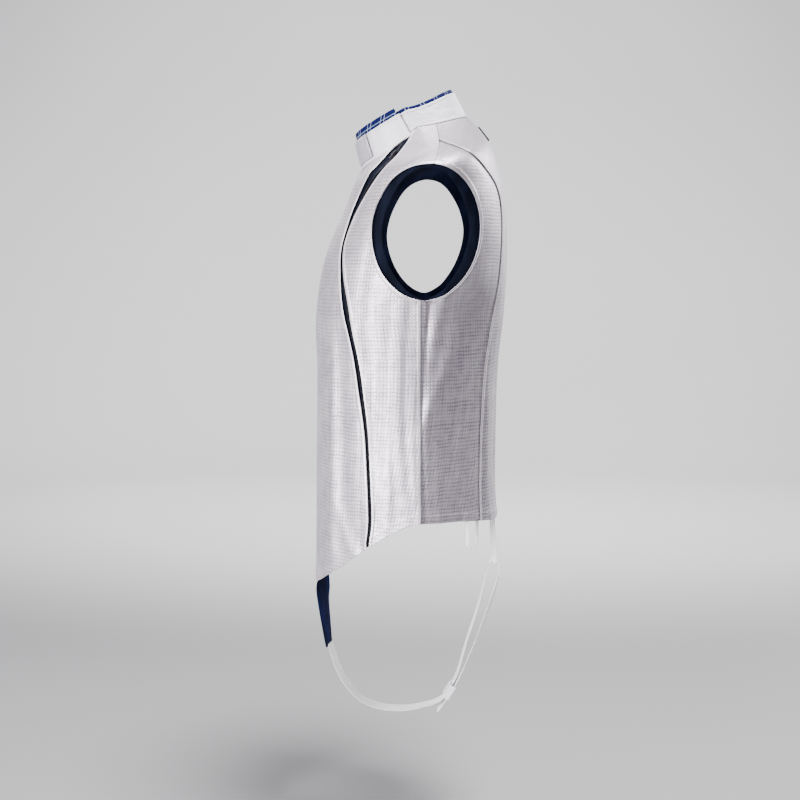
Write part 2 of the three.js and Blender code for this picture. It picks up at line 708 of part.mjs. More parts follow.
// Width direction of the strap: across the body, tipped by the roll to the outside of the loop
function strapAcross(along, roll) {
  const tip = THREE.MathUtils.degToRad(roll);
  const outside = new THREE.Vector3(0, along.z, -along.y).normalize();
  return new THREE.Vector3(Math.cos(tip), 0, 0).addScaledVector(outside, Math.sin(tip));
}

function buildStrap() {
  const route = new THREE.CatmullRomCurve3(STRAP_ROUTE.map((row) => new THREE.Vector3(0, row.y, row.z)));
  const spans = STRAP_ROUTE.length - 1;
  const count = spans * STRAP.stepsPerSpan;
  const stations = Array.from({ length: count + 1 }, (unused, i) => {
    const row = Math.min(Math.floor(i / STRAP.stepsPerSpan), spans - 1);
    const share = i / STRAP.stepsPerSpan - row;
    const roll = lerp(STRAP_ROUTE[row].roll, STRAP_ROUTE[row + 1].roll, share);
    return {
      centre: route.getPoint(i / count),
      across: strapAcross(route.getTangent(i / count), roll),
      width: STRAP.width,
    };
  });
  addPiece('crotch_strap', bandSolid(stations, STRAP.wall), WHITE);
}

// Ladder slider: a block with a slot for each layer of the strap
function rectangle(PathClass, width, height, middle) {
  const path = new PathClass();
  path.moveTo(-width / 2, middle - height / 2);
  path.lineTo(width / 2, middle - height / 2);
  path.lineTo(width / 2, middle + height / 2);
  path.lineTo(-width / 2, middle + height / 2);
  path.closePath();
  return path;
}

function buildStrapSlider() {
  const size = STRAP_SLIDER;
  const shape = rectangle(THREE.Shape, size.width, size.height, 0);
  for (const side of [-1, 1]) {
    const middle = side * STRAP_SLOT.pitch / 2;
    shape.holes.push(rectangle(THREE.Path, STRAP_SLOT.width, STRAP_SLOT.height, middle));
  }
  const slot = STRAP_ROUTE.findIndex((row) => Math.hypot(row.y - size.y, row.z - size.z) < STRAP_SLOT.pitch);
  const before = STRAP_ROUTE[slot - 1];
  const after = STRAP_ROUTE[slot + 1];
  const along = new THREE.Vector3(0, after.y - before.y, after.z - before.z).normalize();
  const across = strapAcross(along, size.roll);
  const outside = along.clone().cross(across);
  const start = new THREE.Vector3(0, size.y, size.z).addScaledVector(along, -size.length / 2);
  const block = new THREE.ExtrudeGeometry(shape, { depth: size.length, bevelEnabled: false });
  block.applyMatrix4(new THREE.Matrix4().makeBasis(across, outside, along).setPosition(start));
  addPiece('strap_slider', block, WHITE);
}

// A tape loop that hangs from the inside of the hem, its legs side by side along the hem
function buildHemLoop(loop) {
  const hemPlace = { angle: loop.angle, level: 0 };
  const inside = SHELL.inner - loop.inset - loop.tape / 2;
  const hem = clothPoint(hemPlace, inside);
  const outward = normalOf(bodyPoint, loop.angle, 0).setZ(0).normalize();
  const aside = new THREE.Vector3(-outward.y, outward.x, 0);
  const pointAt = (side, height) => {
    const swing = loop.lean * (loop.above - height) / (loop.above + loop.below);
    return hem.clone().addScaledVector(aside, side).addScaledVector(outward, swing).setZ(hem.z + height);
  };
  const quarter = Array.from({ length: LOOP_CORNER_STEPS + 1 }, (unused, i) => {
    const turn = (Math.PI / 2) * (i / LOOP_CORNER_STEPS);
    const side = loop.half - loop.corner * (1 - Math.cos(turn));
    return { side, height: loop.corner * (1 - Math.sin(turn)) - loop.below };
  });
  const leg = [{ side: loop.half, height: loop.above }, ...quarter];
  const line = [
    ...leg.map((point) => pointAt(-point.side, point.height)),
    ...leg.reverse().map((point) => pointAt(point.side, point.height)),
  ];
  const stations = line.map((centre) => ({ centre, across: outward, width: loop.tape }));
  addPiece(loop.name, bandSolid(stations, LOOP_WALL), WHITE);
}

buildShell();
buildLining();
buildZip();
buildCollar();
buildClipTab();
buildCrotchTab();
buildStrap();
buildStrapSlider();
HEM_LOOPS.forEach(buildHemLoop);

export default lameGroup;
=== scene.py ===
# Fencing lame, dressed for the render: the same body surface as the solids, at a finer step, with
# folds, hems, stitches, zip teeth and woven materials. Lengths are millimetres until a mesh is made.
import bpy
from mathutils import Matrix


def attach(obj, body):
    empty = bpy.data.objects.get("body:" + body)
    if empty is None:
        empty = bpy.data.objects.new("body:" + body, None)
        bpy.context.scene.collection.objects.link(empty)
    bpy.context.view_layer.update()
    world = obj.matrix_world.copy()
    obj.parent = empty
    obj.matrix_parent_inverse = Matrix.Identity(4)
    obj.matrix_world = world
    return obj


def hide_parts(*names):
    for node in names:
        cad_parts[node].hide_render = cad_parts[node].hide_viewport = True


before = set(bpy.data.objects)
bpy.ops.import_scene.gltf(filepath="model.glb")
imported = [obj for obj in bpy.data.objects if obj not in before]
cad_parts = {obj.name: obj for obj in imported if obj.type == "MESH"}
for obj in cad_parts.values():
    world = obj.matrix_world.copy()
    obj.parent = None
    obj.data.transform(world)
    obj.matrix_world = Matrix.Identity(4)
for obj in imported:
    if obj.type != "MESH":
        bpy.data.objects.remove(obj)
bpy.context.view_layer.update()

import math
from collections import namedtuple

import bmesh
import bpy
import numpy as np
from mathutils import Matrix, Vector

MM = 0.001

# Camera
CAMERA_PLACE = (2.23, 0.0, -0.18)
CAMERA_AIM = (0.0, -0.029, -0.397)
CAMERA_LENS = 69.2
CAMERA_SENSOR = 36.0


def aim(obj, place, target):
    obj.location = place
    direction = Vector(target) - Vector(place)
    obj.rotation_euler = direction.to_track_quat("-Z", "Y").to_euler()


def add_camera():
    data = bpy.data.cameras.new("camera")
    data.lens = CAMERA_LENS
    data.sensor_width = CAMERA_SENSOR
    data.sensor_fit = "HORIZONTAL"
    camera = bpy.data.objects.new("camera", data)
    bpy.context.collection.objects.link(camera)
    aim(camera, CAMERA_PLACE, CAMERA_AIM)
    bpy.context.scene.camera = camera


add_camera()

# Body surface, as in the solids. Columns of BODY: front y, z; side x, y, z; back y, z; superellipse
# power; bends of a row's height towards the front and the back.
FRONT_Y, FRONT_Z, SIDE_X, SIDE_Y, SIDE_Z, BACK_Y, BACK_Z, SQUARE, FRONT_BEND, BACK_BEND = range(10)
BODY = np.array([
    [-152, -658, 166, -4, -551, 112, -564, 2.25, 1.4, 5],
    [-151, -570, 163, -11, -492, 109, -508, 2.25, 1.4, 3],
    [-149, -455, 158, -16, -410, 110, -425, 2.25, 1.5, 2],
    [-148, -355, 161, -14, -330, 113, -345, 2.25, 1.5, 1.5],
    [-150, -278, 168, -10, -262, 121, -270, 2.25, 1.5, 1.5],
    [-141, -208, 174, -4, -205, 125, -200, 2.2, 1.5, 1.5],
    [-125, -160, 182, 4, -150, 124, -140, 2.15, 1.5, 1.5],
    [-107, -120, 188, 11, -100, 117, -85, 2.1, 1.5, 1.5],
    [-93, -84, 186, 16, -64, 103, -38, 2.1, 1.4, 1.5],
    [-87, -72, 125, 10, -36, 86, -10, 2.05, 1.15, 1.5],
    [-82, -62, 67, -3, -9, 67, 9, 2, 0.9, 1.5],
])
TOP = len(BODY) - 1
COLLAR_TOP = np.array([-94, -16, 63, -24, 22, 46, 49, 2, 1.1, 1.5])

# Walls, as offsets along the outward normal
Wall = namedtuple("Wall", "outer inner")
SHELL = Wall(0.0, -1.2)
LINING = Wall(-4.9, -5.9)
ZIP_TAPE = Wall(-3.1, -4.1)
ZIP_COIL = Wall(-1.7, -2.7)
SEAM_GAP = 0.1
SEAM_LAP = 3.5
SHOULDER_GAP = 0.1

# Folds: both ends' angle and level, half the width in degrees, and the depth, negative inwards. A fold
# of side 0 is on both sides, one of side 1 on the wearer's left and one of side -1 on the right.
Fold = namedtuple("Fold", "side angle_top level_top angle_bottom level_bottom half_width depth")
FOLDS = [
    # Broad folds, close to those of the solids
    Fold(0, 104, 3.7, 101, -0.4, 9, -3.5),
    Fold(0, 128, 3.9, 123, -0.4, 17, -11),
    Fold(0, 33, 4, 36, 0.2, 9, 2.5),
    Fold(0, 45, 3.4, 52, 0.4, 7, -2),
    Fold(0, 166, 6, 164, 1.5, 7, -2),
    # The cloth behind the side seam falls further in towards the hem
    Fold(0, 117, 1.6, 115, -0.5, 13, -5),
    # A ridge under the armhole and a slanted one below it
    Fold(0, 108, 4.3, 105, 3.5, 3.0, 3.2),
    Fold(0, 117, 3.3, 100, 1.9, 4.0, 3.4),
    # Creases on the left side, behind the seam
    Fold(1, 100, 4.25, 100, 3.85, 1.5, -2.6),
    Fold(1, 98.5, 2.2, 97, 0.3, 2.6, -1.6),
    Fold(1, 108.5, 1.3, 106.5, -0.3, 2.2, 1.8),
    Fold(1, 138, 2.4, 133, 0.9, 2.4, -2.2),
    Fold(1, 129.5, 1.1, 126, 0.0, 2.0, -1.8),
    Fold(1, 145, 1.4, 142, -0.2, 1.8, -1.4),
    Fold(1, 148, 3.4, 150, -0.2, 3.0, 1.4),
    # Creases on the left side, before the seam
    Fold(1, 78, 3.9, 80, 0.3, 3.4, -0.4),
    Fold(1, 84, 3.2, 86, 0.2, 2.6, 0.3),
    Fold(1, 77.5, 1.0, 73.5, 0.1, 2.4, 0.9),
    Fold(1, 70, 2.7, 69, 1.0, 2.4, 0.7),
    Fold(1, 62, 3.1, 66, 0.8, 2.6, -0.5),
    Fold(1, 41.5, 3.3, 41, 0.7, 3.2, 2.4),
    Fold(1, 43, 1.2, 57, 0.0, 3.0, 1.8),
    Fold(1, 70, 5.6, 66, 3.8, 3.6, 0.9),
    Fold(1, 60, 5.2, 60, 3.4, 3.0, -0.9),
]
FOLD_END_FADE = 0.5
# Small drapes round the whole vest, drawn at random: ranges of their foot's level, height, and half width
DRAPE_SEED = 11
DRAPE_COUNT = 90
DRAPE_FOOT = (-0.5, 2.5)
DRAPE_HEIGHT = (1.0, 3.2)
DRAPE_HALF_WIDTH = (1.6, 4.0)
DRAPE_LEAN = 5
DRAPE_DEPTH = 0.9

# Zip line in the side view, from the hem up, and the gap between the panels' edges over it
ZipRow = namedtuple("ZipRow", "y z gap")
ZIP_LINE = [
    ZipRow(-71, -579, 4.2),
    ZipRow(-68, -548, 4.5),
    ZipRow(-70, -493, 4.5),
    ZipRow(-74, -425, 4.6),
    ZipRow(-82, -364, 6),
    ZipRow(-93, -302, 5.8),
    ZipRow(-102, -255, 8),
    ZipRow(-107, -210, 4.2),
    ZipRow(-106, -175, 3.4),
    ZipRow(-99.5, -152, 3.8),
    ZipRow(-88.5, -124, 6.6),
    ZipRow(-74.5, -97, 10),
    ZipRow(-57, -71, 12.5),
    ZipRow(-33, -42, 13),
    ZipRow(-20, -21, 12.5),
    ZipRow(-8, 4, 11),
]
# Edges along the zip: a share of half the gap, and a margin along the cloth from there
Strip = namedtuple("Strip", "gap_share margin")
PANEL_EDGE = Strip(1, 0)
TAPE_EDGE = Strip(1, 9)
COIL_EDGE = Strip(0.2, 2)
LINING_EDGE = Strip(1, 12)
ZIP_BOTTOM = 0.06
ZIP_TOP = 9.9
TAPE_TOP = 10.2

# Seams and armholes
SIDE_SEAM_Y = 1
SIDE_SEAM_ROWS = 6
BACK_SEAM_LEVELS = [0, 1.5, 3.6, 5.2, 6.4, 6.9, 7.4, 8.3, 9.1]
BACK_SEAM_ANGLES = [140, 143, 146, 152, 155, 151, 140, 121, 103]
BACK_SEAM_TOP = 9.1
SHOULDER_NECK_ANGLE = 112
SHOULDER_TIP_Y = 17
Hole = namedtuple("Hole", "y z half_y half_z power lean")
ARMHOLE = Hole(8, -157, 73, 90, 2, 0.1)
LINING_ARMHOLE = Hole(8, -157, 62, 89, 1.75, 0.1)

# Grid of each panel
ROWS_BELOW = 60
ROWS_ARMHOLE = 72
ROWS = ROWS_BELOW + ROWS_ARMHOLE
OUTER_SHOULDER = 28
INNER_SHOULDER = 14
LEFT_NECK = 14
FRONT_NECK = 70
BACK_NECK = 48
ZIP_LEVEL_AT_ARMPIT = 3.5
BACK_LEVEL_AT_ARMPIT = 3.8
TOP_FADE = 3
LINING_HEM_LEVEL = 0.2

# Steps of slopes on the surface, and the rounds and largest strides of the search for a place on it
TURN_STEP = 0.2
LEVEL_STEP = 0.01
SEARCH_ROUNDS = 60
ANGLE_STRIDE = 6
LEVEL_STRIDE = 0.3


def lerp(a, b, share):
    return a + (b - a) * share


def smoothstep(x, low, high):
    share = np.clip((x - low) / (high - low), 0, 1)
    return share * share * (3 - 2 * share)


def unit(vectors):
    return vectors / np.maximum(np.linalg.norm(vectors, axis=-1, keepdims=True), 1e-9)


def section_at(level):
    level = np.asarray(level, float)
    i = np.clip(np.floor(level).astype(int), 0, TOP - 1)
    s = (level - i)[..., None]
    before = BODY[np.maximum(i - 1, 0)]
    low = BODY[i]
    high = BODY[i + 1]
    after = BODY[np.minimum(i + 2, TOP)]
    slope = (high - before) / 2
    next_slope = (after - low) / 2
    rise = high - low
    square = 3 * rise - 2 * slope - next_slope
    cube = slope + next_slope - 2 * rise
    return low + slope * s + square * s**2 + cube * s**3


def ring_point(section, angle):
    turn = np.radians(angle)
    sine = np.sin(turn)
    cosine = np.cos(turn)
    power = section[..., SQUARE]
    reach = (np.abs(sine) ** power + np.abs(cosine) ** power) ** (-1 / power)
    along = np.abs(reach * cosine)
    front = cosine > 0
    end_y = np.where(front, section[..., FRONT_Y], section[..., BACK_Y])
    end_z = np.where(front, section[..., FRONT_Z], section[..., BACK_Z])
    bend = np.where(front, section[..., FRONT_BEND], section[..., BACK_BEND])
    x = section[..., SIDE_X] * reach * sine
    y = lerp(section[..., SIDE_Y], end_y, along)
    z = lerp(section[..., SIDE_Z], end_z, along**bend)
    return np.stack([x, y, z], axis=-1)


def body_point(angle, level):
    angle, level = np.broadcast_arrays(np.asarray(angle, float), np.asarray(level, float))
    return ring_point(section_at(level), angle)


def normal_of(surface, angle, height):
    around = surface(angle + TURN_STEP, height) - surface(angle - TURN_STEP, height)
    up = surface(angle, height + LEVEL_STEP) - surface(angle, height - LEVEL_STEP)
    return unit(np.cross(around, up))


def random_drapes():
    rng = np.random.default_rng(DRAPE_SEED)
    drapes = []
    for _ in range(DRAPE_COUNT):
        angle = rng.uniform(-180, 180)
        low = rng.uniform(*DRAPE_FOOT)
        high = low + rng.uniform(*DRAPE_HEIGHT)
        lean = rng.uniform(-DRAPE_LEAN, DRAPE_LEAN)
        half = rng.uniform(*DRAPE_HALF_WIDTH)
        depth = rng.uniform(-DRAPE_DEPTH, DRAPE_DEPTH)
        side = 1 if angle >= 0 else -1
        drapes.append(Fold(side, abs(angle), high, abs(angle) + lean, low, half, depth))
    return drapes


ALL_FOLDS = FOLDS + random_drapes()


def fold_depth(angle, level):
    signed = (np.asarray(angle, float) + 180) % 360 - 180
    depth = np.zeros(np.broadcast(signed, level).shape)
    for fold in ALL_FOLDS:
        turned = np.abs(signed) if fold.side == 0 else signed * fold.side
        share = np.clip((level - fold.level_bottom) / (fold.level_top - fold.level_bottom), 0, 1)
        middle = lerp(fold.angle_bottom, fold.angle_top, share)
        past = np.maximum(np.maximum(level - fold.level_top, fold.level_bottom - level), 0) / FOLD_END_FADE
        depth = depth + fold.depth * np.exp(-(((turned - middle) / fold.half_width) ** 2) - past**2)
    return depth


def cloth_point(places, offset):
    angle = places[..., 0]
    level = places[..., 1]
    lift = np.asarray(offset) + fold_depth(angle, level)
    return body_point(angle, level) + normal_of(body_point, angle, level) * lift[..., None]


def place_from_side(y, z):
    y, z = np.broadcast_arrays(np.asarray(y, float), np.asarray(z, float))
    angle = np.full(y.shape, 90.0)
    level = (BODY[:, SIDE_Z] <= z[..., None]).sum(axis=-1) - 0.5
    for _ in range(SEARCH_ROUNDS):
        point = body_point(angle, level)
        by_angle = (body_point(angle + TURN_STEP, level) - point) / TURN_STEP
        by_level = (body_point(angle, level + LEVEL_STEP) - point) / LEVEL_STEP
        size = by_angle[..., 1] * by_level[..., 2] - by_angle[..., 2] * by_level[..., 1]
        miss_y = y - point[..., 1]
        miss_z = z - point[..., 2]
        turn = (miss_y * by_level[..., 2] - miss_z * by_level[..., 1]) / size
        rise = (by_angle[..., 1] * miss_z - by_angle[..., 2] * miss_y) / size
        angle = angle + np.clip(turn, -ANGLE_STRIDE, ANGLE_STRIDE)
        level = level + np.clip(rise, -LEVEL_STRIDE, LEVEL_STRIDE)
    return np.stack([angle, level], axis=-1)


def moved_round(places, distance):
    angle = places[..., 0]
    level = places[..., 1]
    step = body_point(angle + TURN_STEP, level) - body_point(angle, level)
    per_degree = np.linalg.norm(step, axis=-1) / TURN_STEP
    return np.stack([angle + distance / per_degree, level], axis=-1)


def mirrored(places):
    return places * np.array([-1, 1])


def smooth_column(xs, ys):
    xs = np.asarray(xs, float)
    ys = np.asarray(ys, float)
    last = len(xs) - 1
    ahead = np.minimum(np.arange(last + 1) + 1, last)
    behind = np.maximum(np.arange(last + 1) - 1, 0)
    slopes = (ys[ahead] - ys[behind]) / (xs[ahead] - xs[behind])

    def at(x):
        x = np.clip(np.asarray(x, float), xs[0], xs[last])
        i = np.clip(np.searchsorted(xs, x, side="right") - 1, 0, last - 1)
        span = xs[i + 1] - xs[i]
        s = (x - xs[i]) / span
        start = (1 + 2 * s) * (1 - s) ** 2 * ys[i] + s * (1 - s) ** 2 * span * slopes[i]
        end = s * s * (3 - 2 * s) * ys[i + 1] + s * s * (s - 1) * span * slopes[i + 1]
        return start + end

    return at


def beside_zip(side, strip):
    last = len(ZIP_LINE) - 1
    line = []
    for i, row in enumerate(ZIP_LINE):
        ahead = ZIP_LINE[min(i + 1, last)]
        behind = ZIP_LINE[max(i - 1, 0)]
        along = unit(np.array([ahead.y - behind.y, ahead.z - behind.z], float))
        middle = place_from_side(row.y, row.z)
        level = np.clip(middle[1], 0, TOP)
        facing = normal_of(body_point, middle[0], level)[0]
        shift = side * (strip.gap_share * row.gap / 2 + strip.margin * facing)
        line.append(place_from_side(row.y + along[1] * shift, row.z - along[0] * shift))
    count = 1
    while count <= last and line[count - 1][1] < TOP and line[count][1] > line[count - 1][1]:
        count += 1
    kept = np.array(line[:count])
    return smooth_column(kept[:, 1], kept[:, 0])


side_seam_places = place_from_side(SIDE_SEAM_Y, BODY[:SIDE_SEAM_ROWS, SIDE_Z])
side_seam_angle = smooth_column(side_seam_places[:, 1], side_seam_places[:, 0])
back_seam_angle = smooth_column(BACK_SEAM_LEVELS, BACK_SEAM_ANGLES)


def armhole_place(hole, turn):
    reach = 2 / hole.power
    sine = np.sin(turn)
    cosine = np.cos(turn)
    y = hole.y - hole.half_y * np.sign(sine) * np.abs(sine) ** reach
    z = hole.z - hole.half_z * np.sign(cosine) * np.abs(cosine) ** reach
    return place_from_side(y, z + hole.lean * np.maximum(y - hole.y, 0))


def armhole_ends(hole):
    reach = hole.power / 2
    armpit = math.asin(((hole.y - SIDE_SEAM_Y) / hole.half_y) ** reach)
    tip = math.pi + math.asin(((SHOULDER_TIP_Y - hole.y) / hole.half_y) ** reach)
    return armpit, tip


shoulder_neck = np.array([SHOULDER_NECK_ANGLE, TOP], float)
shoulder_tip = armhole_place(ARMHOLE, armhole_ends(ARMHOLE)[1])
back_seam_share = (BACK_SEAM_TOP - shoulder_tip[1]) / (TOP - shoulder_tip[1])


def row_levels(start, at_armpit, top):
    below = np.linspace(start, at_armpit, ROWS_BELOW + 1)
    above = np.linspace(at_armpit, top, ROWS_ARMHOLE + 1)
    return np.concatenate([below, above[1:]])


def zip_edge(start, top, side, strip):
    levels = row_levels(start, ZIP_LEVEL_AT_ARMPIT, top)
    return np.stack([beside_zip(side, strip)(levels), levels], axis=-1)


def back_seam_edge(start, shift):
    levels = row_levels(start, BACK_LEVEL_AT_ARMPIT, BACK_SEAM_TOP)
    return moved_round(np.stack([back_seam_angle(levels), levels], axis=-1), shift)


def side_edge(start, hole, direction):
    """The edge at the side seam and the armhole.

    Direction 1 is the front's edge; the back's goes under it.
    """
    armpit_turn, tip_turn = armhole_ends(hole)
    armpit_level = armhole_place(hole, armpit_turn)[1]
    end_turn = tip_turn if direction > 0 else tip_turn - 2 * math.pi
    levels = np.linspace(start, armpit_level, ROWS_BELOW + 1)
    seam = np.stack([side_seam_angle(levels), levels], axis=-1)
    seam = moved_round(seam, -SEAM_GAP / 2 if direction > 0 else -SEAM_LAP)
    hole_edge = armhole_place(hole, np.linspace(armpit_turn, end_turn, ROWS_ARMHOLE + 1)[1:])
    hole_edge[-1] = moved_round(armhole_place(hole, tip_turn), -direction * SHOULDER_GAP / 2)
    return np.concatenate([seam, hole_edge])


def steps(a, b, count):
    return lerp(a, b, (np.arange(count) / count)[:, None])


def shoulder_stretch(tip, start, end, count):
    return steps(lerp(tip, shoulder_neck, start), lerp(tip, shoulder_neck, end), count)


def front_shoulder(tip):
    inner = shoulder_stretch(tip, back_seam_share, 1, INNER_SHOULDER)
    return np.concatenate([
        shoulder_stretch(tip, 0, back_seam_share, OUTER_SHOULDER),
        moved_round(inner, -SHOULDER_GAP / 2),
        moved_round(shoulder_neck, -SHOULDER_GAP / 2)[None],
    ])


def patch(left, right, top):
    """Places of a four-sided patch as [column, row, (angle, level)]; its bottom edge is straight."""
    last = len(top) - 1
    share = (np.arange(last + 1) / last)[:, None, None]
    rise = (np.arange(ROWS + 1) / ROWS)[None, :, None]
    straight = lerp(top[0], top[last], share[:, 0])
    return lerp(left[None], right[None], share) + (top - straight)[:, None] * rise**TOP_FADE


def left_front_patch(start, hole, strip):
    left = zip_edge(start, TOP, 1, strip)
    right = side_edge(start, hole, 1)
    shoulder = front_shoulder(right[-1])[::-1]
    return patch(left, right, np.concatenate([steps(left[-1], shoulder[0], LEFT_NECK), shoulder]))


def front_patch(start, hole, strip):
    left = mirrored(side_edge(start, hole, 1))
    right = zip_edge(start, TOP, -1, strip)
    shoulder = mirrored(front_shoulder(mirrored(left[-1])))
    neckline = steps(shoulder[-1], right[-1], FRONT_NECK)
    return patch(left, right, np.concatenate([shoulder[:-1], neckline, right[-1:]]))


def back_side_patch(start, hole, seam_shift):
    left = side_edge(start, hole, -1)
    right = back_seam_edge(start, seam_shift)
    shoulder = shoulder_stretch(left[-1], 0, back_seam_share, OUTER_SHOULDER)
    return patch(left, right, np.concatenate([shoulder, right[-1:]]))


def opposite(places):
    return mirrored(places) + np.array([360, 0])


def back_center_patch(start, seam_shift):
    left = back_seam_edge(start, seam_shift)
    right = opposite(left)
    neck = moved_round(shoulder_neck, SHOULDER_GAP / 2)
    shoulder = steps(left[-1], neck, INNER_SHOULDER)
    neckline = steps(neck, opposite(neck), BACK_NECK)
    top = np.concatenate([shoulder, neckline, opposite(neck)[None], opposite(shoulder)[::-1]])
    return patch(left, right, top)


def other_side(places):
    return mirrored(places)[::-1]


# Distances round and up the cloth, for the weave. Below WEAVE_BEND the rows of the weave are level.
WEAVE_BEND = -200
WEAVE_ANGLES = np.linspace(0, 360, 181)
WEAVE_LEVELS = np.linspace(-0.3, 10.3, 213)


def weave_tables():
    points = body_point(WEAVE_ANGLES[:, None], WEAVE_LEVELS[None, :])
    around = np.linalg.norm(np.diff(points, axis=0), axis=-1)
    u = np.concatenate([np.zeros((1, len(WEAVE_LEVELS))), np.cumsum(around, axis=0)])
    climb = np.diff(points, axis=1)
    length = np.linalg.norm(climb, axis=-1)
    gain = np.where(points[:, 1:, 2] < WEAVE_BEND, climb[..., 2], length)
    v = np.concatenate([points[:, :1, 2], points[:, :1, 2] + np.cumsum(gain, axis=1)], axis=1)
    return u, v


WEAVE_U, WEAVE_V = weave_tables()


def weave_place(places):
    signed = (places[..., 0] + 180) % 360 - 180
    column = np.abs(signed) / (WEAVE_ANGLES[1] - WEAVE_ANGLES[0])
    row = (places[..., 1] - WEAVE_LEVELS[0]) / (WEAVE_LEVELS[1] - WEAVE_LEVELS[0])
    i = np.clip(column.astype(int), 0, len(WEAVE_ANGLES) - 2)
    j = np.clip(row.astype(int), 0, len(WEAVE_LEVELS) - 2)
    a = column - i
    b = np.clip(row - j, 0, 1)

    def look(table):
        low = lerp(table[i, j], table[i + 1, j], a)
        high = lerp(table[i, j + 1], table[i + 1, j + 1], a)
        return lerp(low, high, b)

    return np.stack([look(WEAVE_U) * np.sign(signed), look(WEAVE_V)], axis=-1)


def add_mesh(name, points, faces, uv=None, trim=None):
    mesh = bpy.data.meshes.new(name)
    mesh.from_pydata((np.asarray(points) * MM).tolist(), [], [list(face) for face in faces])
    mesh.update()
    if uv is not None:
        layer = mesh.uv_layers.new(name="cloth")
        corner = np.zeros(len(mesh.loops), int)
        mesh.loops.foreach_get("vertex_index", corner)
        layer.data.foreach_set("uv", np.asarray(uv, float)[corner].ravel())
    if trim is not None:
        attribute = mesh.attributes.new("trim", "FLOAT", "POINT")
        attribute.data.foreach_set("value", np.asarray(trim, np.float32))
    mesh.shade_smooth()
    obj = bpy.data.objects.new(name, mesh)
    bpy.context.collection.objects.link(obj)
    return obj


def finish_piece(obj, material, node=None):
    obj.data.materials.clear()
    obj.data.materials.append(material)
    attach(obj, "root")
    if node:
        obj.name = f"{node}_fine"
        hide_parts(node)


def wall_faces(columns, rows):
    """Quads of a closed wall between an outer and an inner grid of columns by rows points."""
    index = np.arange(columns * rows).reshape(columns, rows)
    count = columns * rows
    a, b = index[:-1, :-1], index[1:, :-1]
    c, d = index[1:, 1:], index[:-1, 1:]
    outer = np.stack([a, b, c, d], axis=-1).reshape(-1, 4)
    inner = outer[:, ::-1] + count
    loop = np.concatenate([index[:-1, 0], index[-1, :-1], index[:0:-1, -1], index[0, :0:-1]])
    ahead = np.roll(loop, -1)
    rim = np.stack([ahead, loop, loop + count, ahead + count], axis=-1)
    return np.concatenate([outer, inner, rim])


def run_lengths(points, axis):
    """Distance of each grid point from the first and from the last one along an axis."""
    gaps = np.linalg.norm(np.diff(points, axis=axis), axis=-1)
    first = np.zeros_like(np.take(gaps, [0], axis=axis))
    start = np.concatenate([first, np.cumsum(gaps, axis=axis)], axis=axis)
    return start, np.take(start, [-1], axis=axis) - start


# Finer steps near the edges of a grid: how many cells are split there, and into how many parts
EDGE_CELLS = 4
EDGE_PARTS = 5


def fine_ends(count):
    start = np.arange(EDGE_CELLS * EDGE_PARTS) / EDGE_PARTS
    middle = np.arange(EDGE_CELLS, count - 1 - EDGE_CELLS)
    return np.concatenate([start, middle, count - 1 - start[::-1]])


def resample(grid, coordinates, axis):
    low = np.clip(np.floor(coordinates).astype(int), 0, grid.shape[axis] - 2)
    share = coordinates - low
    shape = [1] * grid.ndim
    shape[axis] = -1
    return lerp(np.take(grid, low, axis=axis), np.take(grid, low + 1, axis=axis), share.reshape(shape))


def refined(places):
    places = resample(places, fine_ends(places.shape[0]), 0)
    return resample(places, fine_ends(places.shape[1]), 1)


# The square of the share of its thickness that a wall keeps at its very edge
EDGE_LEFT = 0.04


def nearest_edge(columns_run, rows_run):
    return np.minimum(np.minimum(*columns_run), np.minimum(*rows_run))


def add_wall(name, middle, normal, half, edge_distance, uv, material, trim=None):
    """A cloth wall on the grid of its middle layer, with edges rounded off; it stands for the node."""
    share = np.clip(edge_distance / half, 0, 1)
    thick = half * np.sqrt(np.clip(1 - (1 - share) ** 2, EDGE_LEFT, 1))
    outer = middle + normal * thick[..., None]
    inner = middle - normal * thick[..., None]
    points = np.concatenate([outer.reshape(-1, 3), inner.reshape(-1, 3)])
    both = None if trim is None else np.tile(trim.ravel(), 2)
    obj = add_mesh(name, points, wall_faces(*middle.shape[:2]), np.tile(uv.reshape(-1, 2), (2, 1)), both)
    finish_piece(obj, material, name)
    return outer


def simple_wall(name, middle, normal, half, uv, material):
    edge = nearest_edge(run_lengths(middle, 0), run_lengths(middle, 1))
    add_wall(name, middle, normal, half, edge, uv, material)


# Folded edges of a panel: width from the edge, height, and half the width of its slope. Negative ones
# dip under their neighbour.
LIP_SOFT = 0.9
Lip = namedtuple("Lip", "width height soft", defaults=[LIP_SOFT])
NO_LIP = Lip(1, 0)
HEM_LIP = Lip(13, 0.5)
ARMHOLE_LIP = Lip(7, 0.7)
ZIP_LIP = Lip(5, 0.6)
SEAM_OVER = Lip(5, 0.5)
SEAM_UNDER = Lip(11, -1.5, 7.4)
TOP_LIP = Lip(3, 0.3)
TRIM_WIDTH = 2.6

# Flares of the panels' side edges below the armpit, where the seam stands out
Flare = namedtuple("Flare", "height reach")
NO_FLARE = Flare(0.0, 1.0)
FRONT_FLARE = Flare(3.8, 15)
BACK_FLARE = Flare(4.2, 10)
FLARE_TOP = 3.2
FLARE_FADE = 2.0


def flare_lift(distance, level, flare):
    near = np.exp(-distance / flare.reach)
    return flare.height * near * (1 - smoothstep(level, FLARE_TOP - FLARE_FADE, FLARE_TOP))


def lip_lift(distance, lip):
    return lip.height * (1 - smoothstep(distance, lip.width - lip.soft, lip.width + lip.soft))


def trim_share(distance, lip):
    """1 on a bound edge, 0 on the cloth; only raised side edges are bound."""
    if lip.height <= 0:
        return np.zeros_like(distance)
    return 1 - smoothstep(distance, TRIM_WIDTH - LIP_SOFT, TRIM_WIDTH + LIP_SOFT)


Panel = namedtuple("Panel", "outer normal from_bottom from_left from_right rows_below")


